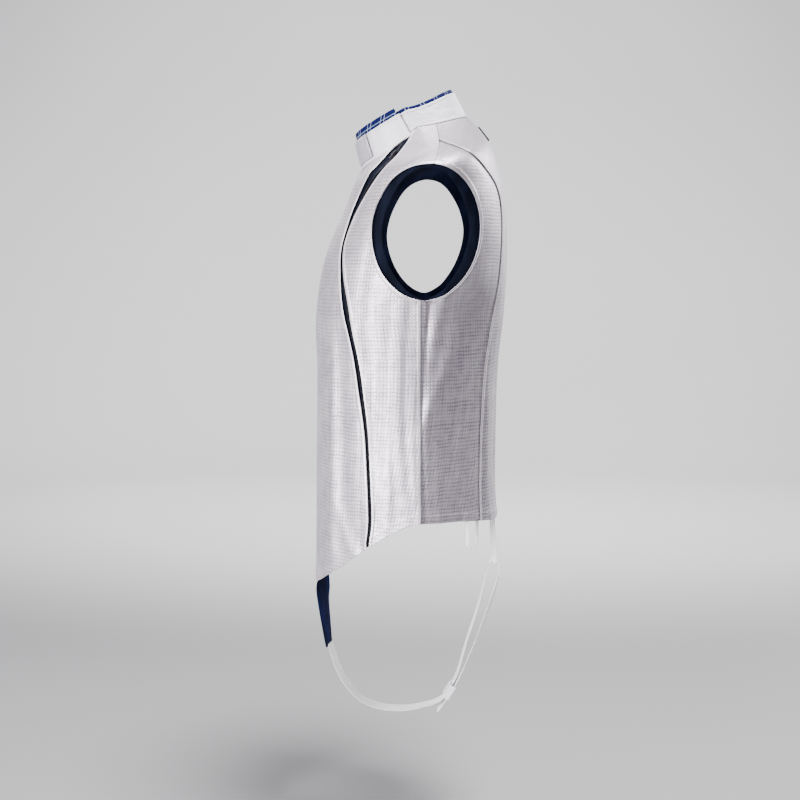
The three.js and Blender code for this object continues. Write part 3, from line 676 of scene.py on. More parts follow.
def rows_split(low, high, rows, split):
    """A value for each row: the first below the armpit row and the second above."""
    return np.where(np.arange(rows) <= split, low, high)[None, :]


def add_panel(name, places, wall, material, slot, left=None, right=None, bottom=NO_LIP, top=NO_LIP,
              left_flare=NO_FLARE, right_flare=NO_FLARE):
    """A cloth wall on the body. left and right are pairs of lips, below and above the armpit row."""
    left = left or (NO_LIP, NO_LIP)
    right = right or (NO_LIP, NO_LIP)
    rows = fine_ends(places.shape[1])
    split = int(np.searchsorted(rows, ROWS_BELOW))
    places = refined(places)
    base = cloth_point(places, np.zeros(places.shape[:2]))
    normal = normal_of(body_point, places[..., 0], places[..., 1])
    from_bottom, from_top = run_lengths(base, 1)
    from_left, from_right = run_lengths(base, 0)
    lift = lip_lift(from_bottom, bottom) + lip_lift(from_top, top)
    lift = lift + flare_lift(from_left, places[..., 1], left_flare)
    lift = lift + flare_lift(from_right, places[..., 1], right_flare)
    trim = np.zeros_like(lift)
    for distance, pair in ((from_left, left), (from_right, right)):
        lift = lift + rows_split(1, 0, len(rows), split) * lip_lift(distance, pair[0])
        lift = lift + rows_split(0, 1, len(rows), split) * lip_lift(distance, pair[1])
        low_trim = rows_split(1, 0, len(rows), split) * trim_share(distance, pair[0])
        high_trim = rows_split(0, 1, len(rows), split) * trim_share(distance, pair[1])
        trim = np.maximum(trim, np.maximum(low_trim, high_trim))
    half = (wall.outer - wall.inner) / 2
    middle = base + normal * ((wall.outer + wall.inner) / 2 + lift)[..., None]
    edge = nearest_edge((from_left, from_right), (from_bottom, from_top))
    outer = add_wall(name, middle, normal, half, edge, weave_place(places), material, trim)
    return Panel(outer, normal, from_bottom, from_left, from_right, split)


# Materials. Of a mix node's many sockets, these are the ones for colours.
MIX_A = 6
MIX_B = 7
MIX_RESULT = 2


class Graph:
    """Short ways to add shader nodes to one material."""

    def __init__(self, name, roughness, metallic=0.0, sheen=0.0, specular=0.5):
        self.material = bpy.data.materials.new(name)
        self.material.use_nodes = True
        self.nodes = self.material.node_tree.nodes
        self.links = self.material.node_tree.links
        self.shader = self.nodes["Principled BSDF"]
        self.shader.inputs["Roughness"].default_value = roughness
        self.shader.inputs["Metallic"].default_value = metallic
        self.shader.inputs["Sheen Weight"].default_value = sheen
        self.shader.inputs["Specular IOR Level"].default_value = specular

    def put(self, target, value):
        if isinstance(value, bpy.types.NodeSocket):
            self.links.new(value, target)
        else:
            target.default_value = value

    def math(self, operation, a, b=0.0, c=0.0):
        node = self.nodes.new("ShaderNodeMath")
        node.operation = operation
        for socket, value in zip(node.inputs, (a, b, c)):
            self.put(socket, value)
        return node.outputs[0]

    def times(self, a, b):
        return self.math("MULTIPLY", a, b)

    def plus(self, a, b):
        return self.math("ADD", a, b)

    def uv(self):
        node = self.nodes.new("ShaderNodeUVMap")
        node.uv_map = "cloth"
        split = self.nodes.new("ShaderNodeSeparateXYZ")
        self.links.new(node.outputs[0], split.inputs[0])
        return split.outputs[0], split.outputs[1]

    def vector(self, x, y, z=0.0):
        node = self.nodes.new("ShaderNodeCombineXYZ")
        for socket, value in zip(node.inputs, (x, y, z)):
            self.put(socket, value)
        return node.outputs[0]

    def object_place(self):
        return self.nodes.new("ShaderNodeTexCoord").outputs["Object"]

    def height(self):
        split = self.nodes.new("ShaderNodeSeparateXYZ")
        self.links.new(self.object_place(), split.inputs[0])
        return split.outputs[2]

    def noise(self, vector, scale, detail=2.0, roughness=0.5):
        node = self.nodes.new("ShaderNodeTexNoise")
        self.put(node.inputs["Vector"], vector)
        node.inputs["Scale"].default_value = scale
        node.inputs["Detail"].default_value = detail
        node.inputs["Roughness"].default_value = roughness
        return node.outputs["Fac"]

    def line(self, coordinate, period, share, soft=0.5):
        """1 on lines a period apart whose width is a share of it, 0 between them."""
        wave = self.math("PINGPONG", self.math("DIVIDE", coordinate, period), 0.5)
        return self.ramp(wave, share / 2 * (1 + soft), share / 2 * (1 - soft))

    def ramp(self, value, low, high, to_low=0.0, to_high=1.0):
        node = self.nodes.new("ShaderNodeMapRange")
        node.interpolation_type = "SMOOTHSTEP"
        for socket, part in zip(node.inputs, (value, low, high, to_low, to_high)):
            self.put(socket, part)
        return node.outputs[0]

    def mix(self, share, a, b):
        node = self.nodes.new("ShaderNodeMix")
        node.data_type = "RGBA"
        self.put(node.inputs[0], share)
        self.put(node.inputs[MIX_A], a)
        self.put(node.inputs[MIX_B], b)
        return node.outputs[MIX_RESULT]

    def attribute(self, name):
        node = self.nodes.new("ShaderNodeAttribute")
        node.attribute_name = name
        return node.outputs["Fac"]

    def color(self, value):
        self.put(self.shader.inputs["Base Color"], value)

    def rough(self, value):
        self.put(self.shader.inputs["Roughness"], value)

    def bump(self, height, distance, strength=1.0):
        node = self.nodes.new("ShaderNodeBump")
        node.inputs["Strength"].default_value = strength
        node.inputs["Distance"].default_value = distance
        self.put(node.inputs["Height"], height)
        self.links.new(node.outputs[0], self.shader.inputs["Normal"])


def rgb(red, green, blue):
    """Linear colour of an sRGB one given from 0 to 255."""
    parts = []
    for part in (red, green, blue):
        share = part / 255
        parts.append(share / 12.92 if share <= 0.04045 else ((share + 0.055) / 1.055) ** 2.4)
    return (*parts, 1.0)


# The grid of the metal-threaded cloth: its period, the shares of it that lines across and along take, how
# far they wander, how much weaker the ones along are, and how much of it a bound edge hides
WEAVE_PERIOD = 5.0
ACROSS_SHARE = 0.42
ALONG_SHARE = 0.36
LINE_SOFT = 0.6
ACROSS_WANDER = 6.0
ALONG_WANDER = 3.0
ALONG_STRENGTH = 0.85
TRIM_HIDES = 0.85
# The back's grid is fainter above the armholes' foot, between these two heights in metres
GRID_FULL_HEIGHT = -0.31
GRID_FAINT_HEIGHT = -0.19
# Pairs of colours between which the cloth and its grid vary, and single ones that are mixed in
LAME_PALE = (rgb(203, 192, 206), rgb(237, 229, 237))
LAME_GRID = (rgb(128, 119, 133), rgb(156, 148, 160))
LAME_TRIM = rgb(240, 236, 240)
LAME_THREAD = rgb(170, 161, 176)
# LAME_SHADE is mixed in as painted shade on the back panels' copy, and very lightly over the front cloth as
# a darker tone
LAME_SHADE = rgb(74, 66, 76)


def lame_material(name, shade, grid_share, upper_share=1.0):
    """Metal-threaded cloth: a darker grid on pale cloth with streaks, clouds and fuzzy threads."""
    g = Graph(name, 0.5, metallic=0.7, sheen=0.1)
    u, v = g.uv()
    place = g.vector(u, v)
    wander = g.noise(place, 0.02)
    across = g.line(g.plus(v, g.times(wander, ACROSS_WANDER)), WEAVE_PERIOD, ACROSS_SHARE, LINE_SOFT)
    along = g.line(g.plus(u, g.times(wander, ALONG_WANDER)), WEAVE_PERIOD, ALONG_SHARE, LINE_SOFT)
    patchy = g.ramp(g.noise(place, 0.07, 3.0), 0.3, 0.7, 0.4, 1.0)
    grid = g.math("MAXIMUM", across, g.times(along, ALONG_STRENGTH))
    grid = g.times(grid, patchy)
    if upper_share < 1:
        fade = g.ramp(g.height(), GRID_FULL_HEIGHT, GRID_FAINT_HEIGHT, 1.0, upper_share)
        grid = g.times(grid, fade)
    trim = g.attribute("trim")
    grid = g.times(grid, g.math("SUBTRACT", 1.0, g.times(trim, TRIM_HIDES)))
    thread = g.noise(g.vector(g.times(u, 0.5), v), 1.4, 3.0)
    streak = g.noise(g.vector(u, g.times(v, 0.05)), 0.22, 4.0, 0.6)
    cloud = g.noise(place, 0.018, 3.0)
    tone = g.ramp(g.plus(g.times(streak, 0.6), g.times(cloud, 0.4)), 0.32, 0.68)
    pale = g.mix(tone, *LAME_PALE)
    pale = g.mix(g.times(trim, 0.5), pale, LAME_TRIM)
    dark = g.mix(tone, *LAME_GRID)
    color = g.mix(g.times(grid, grid_share), pale, dark)
    color = g.mix(g.ramp(thread, 0.35, 0.7, 0.0, 0.22), color, LAME_THREAD)
    # Mixing towards LAME_SHADE: painted shade on the back panels' copy, a slightly darker tone on the
    # front's
    g.color(g.mix(shade, color, LAME_SHADE))
    g.rough(g.ramp(thread, 0.3, 0.7, 0.42, 0.57))
    height = g.math("SUBTRACT", g.times(thread, 0.35), g.times(grid, 0.8))
    g.bump(height, 0.0006, 0.6)
    return g.material


def collar_material(name, roughness, metallic, dark, pale):
    """The collar's plainer cloth, slightly crumpled."""
    g = Graph(name, roughness, metallic=metallic, sheen=0.1)
    u, v = g.uv()
    thread = g.noise(g.vector(g.times(u, 0.6), v), 1.6, 3.0)
    soft = g.noise(g.vector(u, v), 0.05, 3.0)
    base = g.mix(soft, dark, pale)
    g.color(g.mix(g.ramp(thread, 0.4, 0.7, 0.0, 0.14), base, rgb(172, 166, 178)))
    crumple = g.noise(g.vector(u, v), 0.13, 2.0)
    height = g.plus(g.times(thread, 0.25), g.times(crumple, 1.3))
    g.bump(height, 0.0009, 0.7)
    return g.material


def navy_material(name, dark, pale, ribs, painted_glow=None):
    """Dark woven cloth; its last argument is a pair of faint colours that it gives off as painted light."""
    g = Graph(name, 0.9, specular=0.08)
    u, v = g.uv()
    soft = g.noise(g.vector(u, g.times(v, 0.3)), 0.05, 4.0)
    thread = g.times(g.line(u, ribs, 0.5, 0.9), g.line(v, ribs, 0.5, 0.9))
    color = g.mix(g.ramp(soft, 0.35, 0.75), dark, pale)
    g.color(g.mix(g.times(thread, 0.25), color, pale))
    if painted_glow:
        g.put(g.shader.inputs["Emission Color"], g.mix(g.ramp(soft, 0.35, 0.75), *painted_glow))
        g.shader.inputs["Emission Strength"].default_value = 1.0
    g.bump(g.plus(thread, g.times(soft, 3.0)), 0.0003, 0.5)
    return g.material


CHECK_PERIOD = 24.0
CHECK_PAIR = 5.5
CHECK_LINE = 0.6
CHECK_FIRST_ROW = 6.5


def check_material():
    g = Graph("collar_blue", 0.85, specular=0.15)
    u, v = g.uv()

    def stripes(coordinate, shift, period):
        moved = g.plus(coordinate, shift)
        return g.line(moved, period, CHECK_LINE / period, 0.4)

    pairs = g.math("MAXIMUM", stripes(u, 0.0, CHECK_PERIOD), stripes(u, CHECK_PAIR, CHECK_PERIOD))
    rows = stripes(v, -CHECK_FIRST_ROW, CHECK_PERIOD / 2)
    lines = g.math("MAXIMUM", pairs, rows)
    thread = g.times(g.line(u, 0.8, 0.5, 0.9), g.line(v, 0.8, 0.5, 0.9))
    soft = g.noise(g.vector(u, v), 0.06, 3.0)
    blue = g.mix(soft, rgb(0, 3, 34), rgb(0, 9, 72))
    blue = g.mix(g.times(thread, 0.2), blue, rgb(1, 18, 104))
    g.color(g.mix(g.times(lines, 0.6), blue, rgb(190, 204, 232)))
    g.bump(g.plus(thread, lines), 0.0002, 0.5)
    return g.material


def elastic_material(name, pale, dark):
    """White elastic with ribs across it and cords along it."""
    g = Graph(name, 0.75, sheen=0.8, specular=0.3)
    g.shader.inputs["Subsurface Weight"].default_value = 0.4
    g.shader.inputs["Subsurface Radius"].default_value = (1.0, 1.0, 1.0)
    g.shader.inputs["Subsurface Scale"].default_value = 0.003
    u, v = g.uv()
    ribs = g.line(v, 3.0, 0.5, 0.9)
    cords = g.line(u, 3.2, 0.35, 0.8)
    fuzz = g.noise(g.vector(u, v), 0.9, 3.0)
    worn = g.noise(g.vector(u, v), 0.08, 3.0)
    shade = g.plus(g.times(ribs, 0.45), g.times(cords, 0.4))
    shade = g.plus(shade, g.times(fuzz, 0.3))
    g.color(g.mix(g.times(shade, g.ramp(worn, 0.3, 0.7, 0.5, 1.0)), pale, dark))
    height = g.math("SUBTRACT", fuzz, g.plus(g.times(cords, 0.6), ribs))
    g.bump(height, 0.0004, 0.7)
    return g.material


def thread_material(name, dark, pale):
    g = Graph(name, 0.6, sheen=0.2)
    twist = g.noise(g.object_place(), 900.0, 2.0)
    g.color(g.mix(twist, dark, pale))
    g.bump(twist, 0.0002, 0.4)
    return g.material


def plastic_material(name, base, worn, roughness):
    g = Graph(name, roughness, specular=0.35)
    grain = g.noise(g.object_place(), 700.0, 2.0)
    wear = g.noise(g.object_place(), 90.0, 3.0)
    g.color(g.mix(g.ramp(wear, 0.45, 0.75), base, worn))
    g.rough(g.ramp(grain, 0.3, 0.7, roughness - 0.08, roughness + 0.1))
    g.bump(grain, 0.00015, 0.3)
    return g.material


# Painted light: a faint glow given off by the lining, which stands in for the light that reaches the vest's
# dark inside
LINING_PAINTED_GLOW = (rgb(8, 11, 24), rgb(20, 25, 46))
LAME = lame_material("lame_cloth", 0.05, 0.72)
# The back panels' copy is darker and has a stronger grid: painted shade of the back, which faces away from
# the key light, and of the weave under grazing light
LAME_BACK_PAINTED_SHADE = lame_material("lame_cloth_back_painted_shade", 0.43, 0.95, 0.5)
COLLAR_CLOTH = collar_material("collar_cloth", 0.62, 0.5, rgb(196, 191, 200), rgb(218, 214, 219))
# The tab's copy of the collar cloth is darker and less metallic: painted shade on the front tab
TAB_CLOTH_PAINTED_SHADE = collar_material("tab_cloth_painted_shade", 0.6, 0.3, rgb(152, 147, 156), rgb(174, 169, 177))
NAVY_LINING = navy_material("lining_navy", rgb(2, 4, 11), rgb(5, 8, 20), 0.9, LINING_PAINTED_GLOW)
NAVY_TAPE = navy_material("zip_tape", rgb(4, 6, 18), rgb(12, 15, 34), 1.1)
NAVY_TAB = navy_material("tab_navy", rgb(1, 4, 26), rgb(9, 23, 80), 1.4)
CHECK = check_material()
ELASTIC = elastic_material("white_elastic", rgb(250, 248, 250), rgb(200, 195, 204))
THREAD = thread_material("thread", rgb(196, 190, 200), rgb(238, 234, 238))
HEM_THREAD = thread_material("hem_thread", rgb(156, 149, 158), rgb(188, 182, 190))
BLACK_PLASTIC = plastic_material("zip_plastic", rgb(12, 13, 18), rgb(32, 34, 42), 0.45)
WHITE_PLASTIC = plastic_material("white_plastic", rgb(226, 224, 230), rgb(240, 238, 242), 0.35)


# Stitches: short rounded bars laid end to end along a line on the cloth
STITCH_PITCH = 3.2
STITCH_LENGTH = 2.3
STITCH_WIDTH = 0.7
STITCH_HEIGHT = 0.35
STITCH_SECTIONS = ((-0.5, 0.35), (-0.32, 1.0), (0.32, 1.0), (0.5, 0.35))
STITCH_RING = 6
# How far ahead on a line its direction is taken
LOOK_AHEAD = 0.5


def walk(points, normals, pitch):
    """Points, directions and normals at even steps along a line."""
    gaps = np.linalg.norm(np.diff(points, axis=0), axis=-1)
    length = np.concatenate([[0], np.cumsum(gaps)])
    at = np.arange(pitch, length[-1] - pitch, pitch)

    def look(values, where):
        return np.stack([np.interp(where, length, values[:, k]) for k in range(3)], axis=-1)

    place = look(points, at)
    return place, unit(look(points, at + LOOK_AHEAD) - place), unit(look(normals, at))


def ring_faces(first, rings, ring):
    """Faces of a closed tube whose rings of points follow each other from the first point."""
    faces = []
    for low in range(first, first + (rings - 1) * ring, ring):
        for i in range(ring):
            j = (i + 1) % ring
            faces.append([low + i, low + j, low + ring + j, low + ring + i])
    last = first + (rings - 1) * ring
    faces.append([first + i for i in reversed(range(ring))])
    faces.append([last + i for i in range(ring)])
    return faces


def stitch_mesh(name, lines, pitch=STITCH_PITCH, material=THREAD):
    points = []
    faces = []
    turn = np.arange(STITCH_RING) / STITCH_RING * 2 * math.pi
    for line, normals in lines:
        for place, along, up in zip(*walk(line, normals, pitch)):
            across = np.cross(up, along)
            first = len(points)
            for shift, scale in STITCH_SECTIONS:
                middle = place + along * shift * STITCH_LENGTH
                for angle in turn:
                    side = across * math.cos(angle) * STITCH_WIDTH / 2
                    high = up * (math.sin(angle) * STITCH_HEIGHT)
                    points.append(middle + (side + high) * scale)
            faces += ring_faces(first, len(STITCH_SECTIONS), STITCH_RING)
    finish_piece(add_mesh(name, np.array(points), faces), material)


def line_along(panel, distance, value, axis, keep=slice(None)):
    """The line on a panel at a distance from one edge. Axis 1 crosses the columns, 0 the rows."""
    outer = panel.outer if axis == 1 else panel.outer.swapaxes(0, 1)
    normal = panel.normal if axis == 1 else panel.normal.swapaxes(0, 1)
    run = distance if axis == 1 else distance.T
    points = []
    ups = []
    for k in range(run.shape[0]):
        order = np.argsort(run[k])
        near = run[k][order]
        points.append([np.interp(value, near, outer[k][order][:, c]) for c in range(3)])
        ups.append([np.interp(value, near, normal[k][order][:, c]) for c in range(3)])
    return np.array(points)[keep], np.array(ups)[keep]


# Outer cloth
def shell_panel(name, places, material, left, right, **flares):
    return add_panel(name, places, SHELL, material, "lame_cloth", left=left, right=right,
                     bottom=HEM_LIP, top=TOP_LIP, **flares)


ZIP_SIDE = (ZIP_LIP, ZIP_LIP)
FRONT_SIDE = (SEAM_OVER, ARMHOLE_LIP)
BACK_SIDE = (SEAM_UNDER, ARMHOLE_LIP)
UNDER_SEAM = (SEAM_UNDER, SEAM_UNDER)
OVER_SEAM = (SEAM_OVER, SEAM_OVER)
back_side_places = back_side_patch(0, ARMHOLE, SEAM_LAP)
front = shell_panel("front_panel", front_patch(0, ARMHOLE, PANEL_EDGE), LAME,
                    FRONT_SIDE, ZIP_SIDE, left_flare=FRONT_FLARE)
left_front = shell_panel("left_front_panel", left_front_patch(0, ARMHOLE, PANEL_EDGE), LAME,
                         ZIP_SIDE, FRONT_SIDE, right_flare=FRONT_FLARE)
back_left = shell_panel("back_side_left", back_side_places, LAME_BACK_PAINTED_SHADE,
                        BACK_SIDE, UNDER_SEAM, left_flare=BACK_FLARE)
back_right = shell_panel("back_side_right", other_side(back_side_places), LAME_BACK_PAINTED_SHADE,
                         UNDER_SEAM, BACK_SIDE, right_flare=BACK_FLARE)
back_center = shell_panel("back_center", back_center_patch(0, SEAM_GAP / 2), LAME_BACK_PAINTED_SHADE, OVER_SEAM, OVER_SEAM)


# Lining
def lining_panel(name, places, **lips):
    add_panel(name, places, LINING, NAVY_LINING, "lining_navy", **lips)


LINING_SIDE = (SEAM_UNDER, NO_LIP)
lining_cut = (LINING_HEM_LEVEL, LINING_ARMHOLE)
lining_side = back_side_patch(*lining_cut, SEAM_LAP)
lining_panel("lining_front", front_patch(*lining_cut, LINING_EDGE))
lining_panel("lining_left_front", left_front_patch(*lining_cut, LINING_EDGE))
lining_panel("lining_back_left", lining_side, left=LINING_SIDE, right=UNDER_SEAM)
lining_panel("lining_back_right", other_side(lining_side), left=UNDER_SEAM, right=LINING_SIDE)
lining_panel("lining_back", back_center_patch(LINING_HEM_LEVEL, SEAM_GAP / 2))

# Topstitching of the outer cloth
HEM_STITCH = 10.5
EDGE_STITCH = 3.4
ARMHOLE_STITCH = 5.6
shell_panels = (front, left_front, back_left, back_right, back_center)
hem_lines = [line_along(panel, panel.from_bottom, HEM_STITCH, 1) for panel in shell_panels]
stitch_mesh("hem_stitches", hem_lines, material=HEM_THREAD)
below = slice(0, front.rows_below)
above = slice(front.rows_below + 1, None)
stitch_mesh("armhole_stitches", [
    line_along(front, front.from_left, ARMHOLE_STITCH, 0, above),
    line_along(left_front, left_front.from_right, ARMHOLE_STITCH, 0, above),
    line_along(back_left, back_left.from_left, ARMHOLE_STITCH, 0, above),
    line_along(back_right, back_right.from_right, ARMHOLE_STITCH, 0, above),
])
stitch_mesh("seam_stitches", [
    line_along(front, front.from_left, EDGE_STITCH, 0, below),
    line_along(left_front, left_front.from_right, EDGE_STITCH, 0, below),
    line_along(back_center, back_center.from_left, EDGE_STITCH, 0),
    line_along(back_center, back_center.from_right, EDGE_STITCH, 0),
    line_along(front, front.from_right, EDGE_STITCH, 0),
    line_along(left_front, left_front.from_left, EDGE_STITCH, 0),
])

# Zip
ZIP_COLUMNS = 9
ZIP_STEPS = 400


def zip_places(strip, columns):
    edges = np.stack([zip_edge(ZIP_BOTTOM, TAPE_TOP, side, strip) for side in (-1, 0, 1)])
    return resample(edges, np.linspace(0, 2, columns), 0)


def add_zip_tape():
    places = zip_places(TAPE_EDGE, ZIP_COLUMNS)
    normal = normal_of(body_point, places[..., 0], places[..., 1])
    middle = cloth_point(places, np.full(places.shape[:2], (ZIP_TAPE.outer + ZIP_TAPE.inner) / 2))
    half = (ZIP_TAPE.outer - ZIP_TAPE.inner) / 2
    simple_wall("zip_tape", middle, normal, half, weave_place(places), NAVY_TAPE)


# Teeth: pitch along the zip, size along, across and up, and how far each side's teeth stand over
TOOTH_PITCH = 1.5
TOOTH_SIZE = (1.05, 3.6, 1.0)
TOOTH_SHIFT = 0.8
TOOTH_TOP = 0.62
BOX_CORNERS = ((-1, -1), (1, -1), (1, 1), (-1, 1))
BOX_FACES = ((3, 2, 1, 0), (4, 5, 6, 7), (0, 1, 5, 4), (1, 2, 6, 5), (2, 3, 7, 6), (3, 0, 4, 7))


def add_zip_teeth():
    levels = np.linspace(ZIP_BOTTOM, ZIP_TOP, ZIP_STEPS)
    places = np.stack([beside_zip(0, COIL_EDGE)(levels), levels], axis=-1)
    line = cloth_point(places, np.full(len(levels), ZIP_COIL.inner))
    normals = normal_of(body_point, places[:, 0], places[:, 1])
    points = []
    faces = []
    length, width, height = TOOTH_SIZE
    for k, (place, along, up) in enumerate(zip(*walk(line, normals, TOOTH_PITCH))):
        across = np.cross(up, along)
        middle = place + across * TOOTH_SHIFT * (1 if k % 2 else -1)
        first = len(points)
        for level, scale in ((0.0, 1.0), (height, TOOTH_TOP)):
            for i, j in BOX_CORNERS:
                side = along * i * length / 2 * scale + across * j * width / 2 * scale
                points.append(middle + side + up * level)
        faces += [[first + corner for corner in face] for face in BOX_FACES]
    finish_piece(add_mesh("zip_coil", np.array(points), faces), BLACK_PLASTIC, "zip_coil")


add_zip_tape()
add_zip_teeth()


# Rigid small pieces: prisms with bevelled edges. Edges sharper than the first angle are bevelled, and
# shading breaks at those sharper than the second.
BEVEL_ANGLE = math.radians(40)
CREASE_ANGLE = math.radians(35)


def sharp_edges(edges):
    return [edge for edge in edges if edge.calc_face_angle(0.0) > BEVEL_ANGLE]


def prism(mesh, outline, low, high, matrix, bevel, holes=()):
    """Adds a prism to a bmesh. Outline is (x, y) points; the matrix places it."""
    def ring(shape, height):
        return [mesh.verts.new(matrix @ Vector((x, y, height))) for x, y in shape]

    base = ring(outline, low)
    roof = ring(outline, high)
    made = []
    count = len(outline)
    for i in range(count):
        j = (i + 1) % count
        made.append(mesh.faces.new([base[i], base[j], roof[j], roof[i]]))
    if not holes:
        made.append(mesh.faces.new(list(reversed(base))))
        made.append(mesh.faces.new(roof))
    for hole in holes:
        hole_base = ring(hole, low)
        hole_roof = ring(hole, high)
        for i in range(count):
            j = (i + 1) % count
            made.append(mesh.faces.new([hole_base[j], hole_base[i], hole_roof[i], hole_roof[j]]))
            made.append(mesh.faces.new([base[j], base[i], hole_base[i], hole_base[j]]))
            made.append(mesh.faces.new([roof[i], roof[j], hole_roof[j], hole_roof[i]]))
    edges = sharp_edges({edge for face in made for edge in face.edges})
    bmesh.ops.bevel(mesh, geom=edges, offset=bevel, segments=2, affect="EDGES", profile=0.6)


def round_outline(width, length, radius, count=5, start=0.0):
    """A rectangle with round corners, its first side at y = start."""
    points = []
    corners = (
        (width / 2 - radius, start + radius, -90),
        (width / 2 - radius, start + length - radius, 0),
        (-width / 2 + radius, start + length - radius, 90),
        (-width / 2 + radius, start + radius, 180),
    )
    for x, y, first in corners:
        for k in range(count):
            turn = math.radians(first + 90 * k / (count - 1))
            points.append((x + radius * math.cos(turn), y + radius * math.sin(turn)))
    return points


def from_bmesh(name, mesh):
    data = bpy.data.meshes.new(name)
    bmesh.ops.recalc_face_normals(mesh, faces=mesh.faces)
    mesh.to_mesh(data)
    mesh.free()
    data.transform(Matrix.Scale(MM, 4))
    data.shade_smooth()
    data.set_sharp_from_angle(angle=CREASE_ANGLE)
    obj = bpy.data.objects.new(name, data)
    bpy.context.collection.objects.link(obj)
    return obj


def basis(x_axis, y_axis, z_axis, origin):
    matrix = Matrix.Identity(4)
    for column, axis in enumerate((x_axis, y_axis, z_axis, origin)):
        for row in range(3):
            matrix[row][column] = float(axis[row])
    return matrix


ZIP_SLIDER_LEVEL = 9.3
ZIP_SLIDER_LIFT = -0.6
# Plates of the zip slider, from the cloth outwards: outline, lowest and highest height, and bevel
Plate = namedtuple("Plate", "outline low high bevel")
ZIP_BODY = [(-2.2, 0), (2.2, 0), (3, 4), (2.8, 10), (-2.8, 10), (-3, 4)]
ZIP_TOP_SCALE = 0.96
ZIP_TOP_SHIFT = 0.2
ZIP_BODY_TOP = [(x * ZIP_TOP_SCALE, y * ZIP_TOP_SCALE + ZIP_TOP_SHIFT) for x, y in ZIP_BODY]
ZIP_PLATES = [
    Plate(ZIP_BODY, 0.0, 0.7, 0.2),
    Plate(ZIP_BODY_TOP, 1.2, 2.0, 0.25),
    Plate(round_outline(1.6, 4.4, 0.6, start=0.6), 0.6, 1.3, 0.1),
    Plate(round_outline(1.8, 7.0, 0.7, start=1.6), 1.9, 2.7, 0.25),
]
ZIP_PULL = Plate(round_outline(3.6, 17.0, 1.6, start=8.2), 2.1, 2.9, 0.2)
ZIP_PULL_SLOT = round_outline(1.7, 5.0, 0.7, start=9.6)


def add_zip_slider():
    level = ZIP_SLIDER_LEVEL
    zip_angle = beside_zip(0, COIL_EDGE)
    place = np.array([zip_angle(level), level])
    lower = np.array([zip_angle(level - LEVEL_STEP), level - LEVEL_STEP])
    normal = normal_of(body_point, place[0], place[1])
    down = cloth_point(lower, 0.0) - cloth_point(place, 0.0)
    down = unit(down - normal * np.dot(down, normal))
    across = np.cross(down, normal)
    seat = basis(across, down, normal, cloth_point(place, ZIP_SLIDER_LIFT))
    mesh = bmesh.new()
    for plate in ZIP_PLATES:
        prism(mesh, plate.outline, plate.low, plate.high, seat, plate.bevel)
    prism(mesh, ZIP_PULL.outline, ZIP_PULL.low, ZIP_PULL.high, seat, ZIP_PULL.bevel, holes=(ZIP_PULL_SLOT,))
    finish_piece(from_bmesh("zip_slider", mesh), BLACK_PLASTIC, "zip_slider")


add_zip_slider()

# Collar: angles of its ends, shares of its height, and walls
COLLAR_START = 74
COLLAR_END = 442
COLLAR_FOOT = 0.02
LAP_FOOT = -0.09
START_DROP = 0.13
START_DROP_END = 150
COLLAR_WALL = 1.6
LAP_START = 345
LAP_FULL = 408
LAP_LIFT = 4.4
PROUD_BACK = 0.13
PROUD_FRONT = 0.24
PROUD_CHANGE = (250, 320)
COLLAR_LINING_ENDS = (76, 440)
COLLAR_LINING_FOOT = 0.16
COLLAR_LINING_GAP = 0.5
COLLAR_LINING_WALL = 1.0
TAB_ENDS = (333, 402)
TAB_FOOT = 0.05
TAB_HEAD = 0.76
TAB_GAP = 0.5
TAB_WALL = 1.6
COLLAR_COLUMNS = 150
TAB_COLUMNS = 44
COLLAR_ROWS = 16
# Raised edges of the band, and how the ends of the tab curl up
LAP_LIP = Lip(4, 0.5)
HEAD_LIP = Lip(3.5, 0.35)
FOOT_LIP = Lip(3, 0.3)
TAB_END_CURL = 1.6
TAB_START_CURL = 0.8
TAB_CURL_REACH = 9
# Stitch lines, by their distances from the edges
COLLAR_PITCH = 2.6
BAND_FOOT_STITCHES = (2.0, 4.6)
BAND_HEAD_STITCH = 2.6
BAND_END_STITCH = 2.8
TAB_END_STITCH = 2.6
TAB_HEAD_STITCH = 2.4
STITCHED = slice(12, -12)


def collar_point(angle, share):
    low = body_point(angle, np.full(np.shape(angle), float(TOP)))
    high = ring_point(np.broadcast_to(COLLAR_TOP, (*np.shape(angle), len(COLLAR_TOP))), angle)
    return lerp(low, high, np.asarray(share)[..., None])


def collar_lift(angle):
    return LAP_LIFT * smoothstep(angle, LAP_START, LAP_FULL)


def start_drop(angle):
    return START_DROP * (1 - smoothstep(angle, COLLAR_START, START_DROP_END))


def collar_head(angle):
    return lining_head(angle) - lerp(PROUD_BACK, PROUD_FRONT, smoothstep(angle, *PROUD_CHANGE))


def lining_head(angle):
    return 1 - start_drop(angle)


def band_foot(angle):
    return lerp(COLLAR_FOOT, LAP_FOOT, smoothstep(angle, LAP_START, LAP_FULL))


def level_at(share):
    return lambda angle: np.full(np.shape(angle), share)


def collar_grid(start, end, foot, head, columns):
    angle = resample(np.linspace(start, end, columns + 1), fine_ends(columns + 1), 0)
    share = resample(np.linspace(0, 1, COLLAR_ROWS + 1), fine_ends(COLLAR_ROWS + 1), 0)
    angles = np.broadcast_to(angle[:, None], (len(angle), len(share)))
    shares = lerp(foot(angle)[:, None], head(angle)[:, None], share[None, :])
    return angles, shares


# Gentle waves of the collar's cloth: angle, half width in degrees, depth
COLLAR_WAVES = ((92, 6, 0.7), (104, 6, -0.6), (128, 12, -0.8), (160, 11, 0.6), (205, 12, -0.7),
                (250, 14, 0.6), (300, 10, -0.5), (406, 4, 0.7), (412, 3.5, -0.8), (421, 4, 0.7),
                (428, 3, -0.6), (435, 3, 0.5))


def collar_wave(angle, share):
    wave = np.zeros(np.shape(angle))
    for middle, half, depth in COLLAR_WAVES:
        wave = wave + depth * np.exp(-(((angle - middle) / half) ** 2)) * share
    return wave


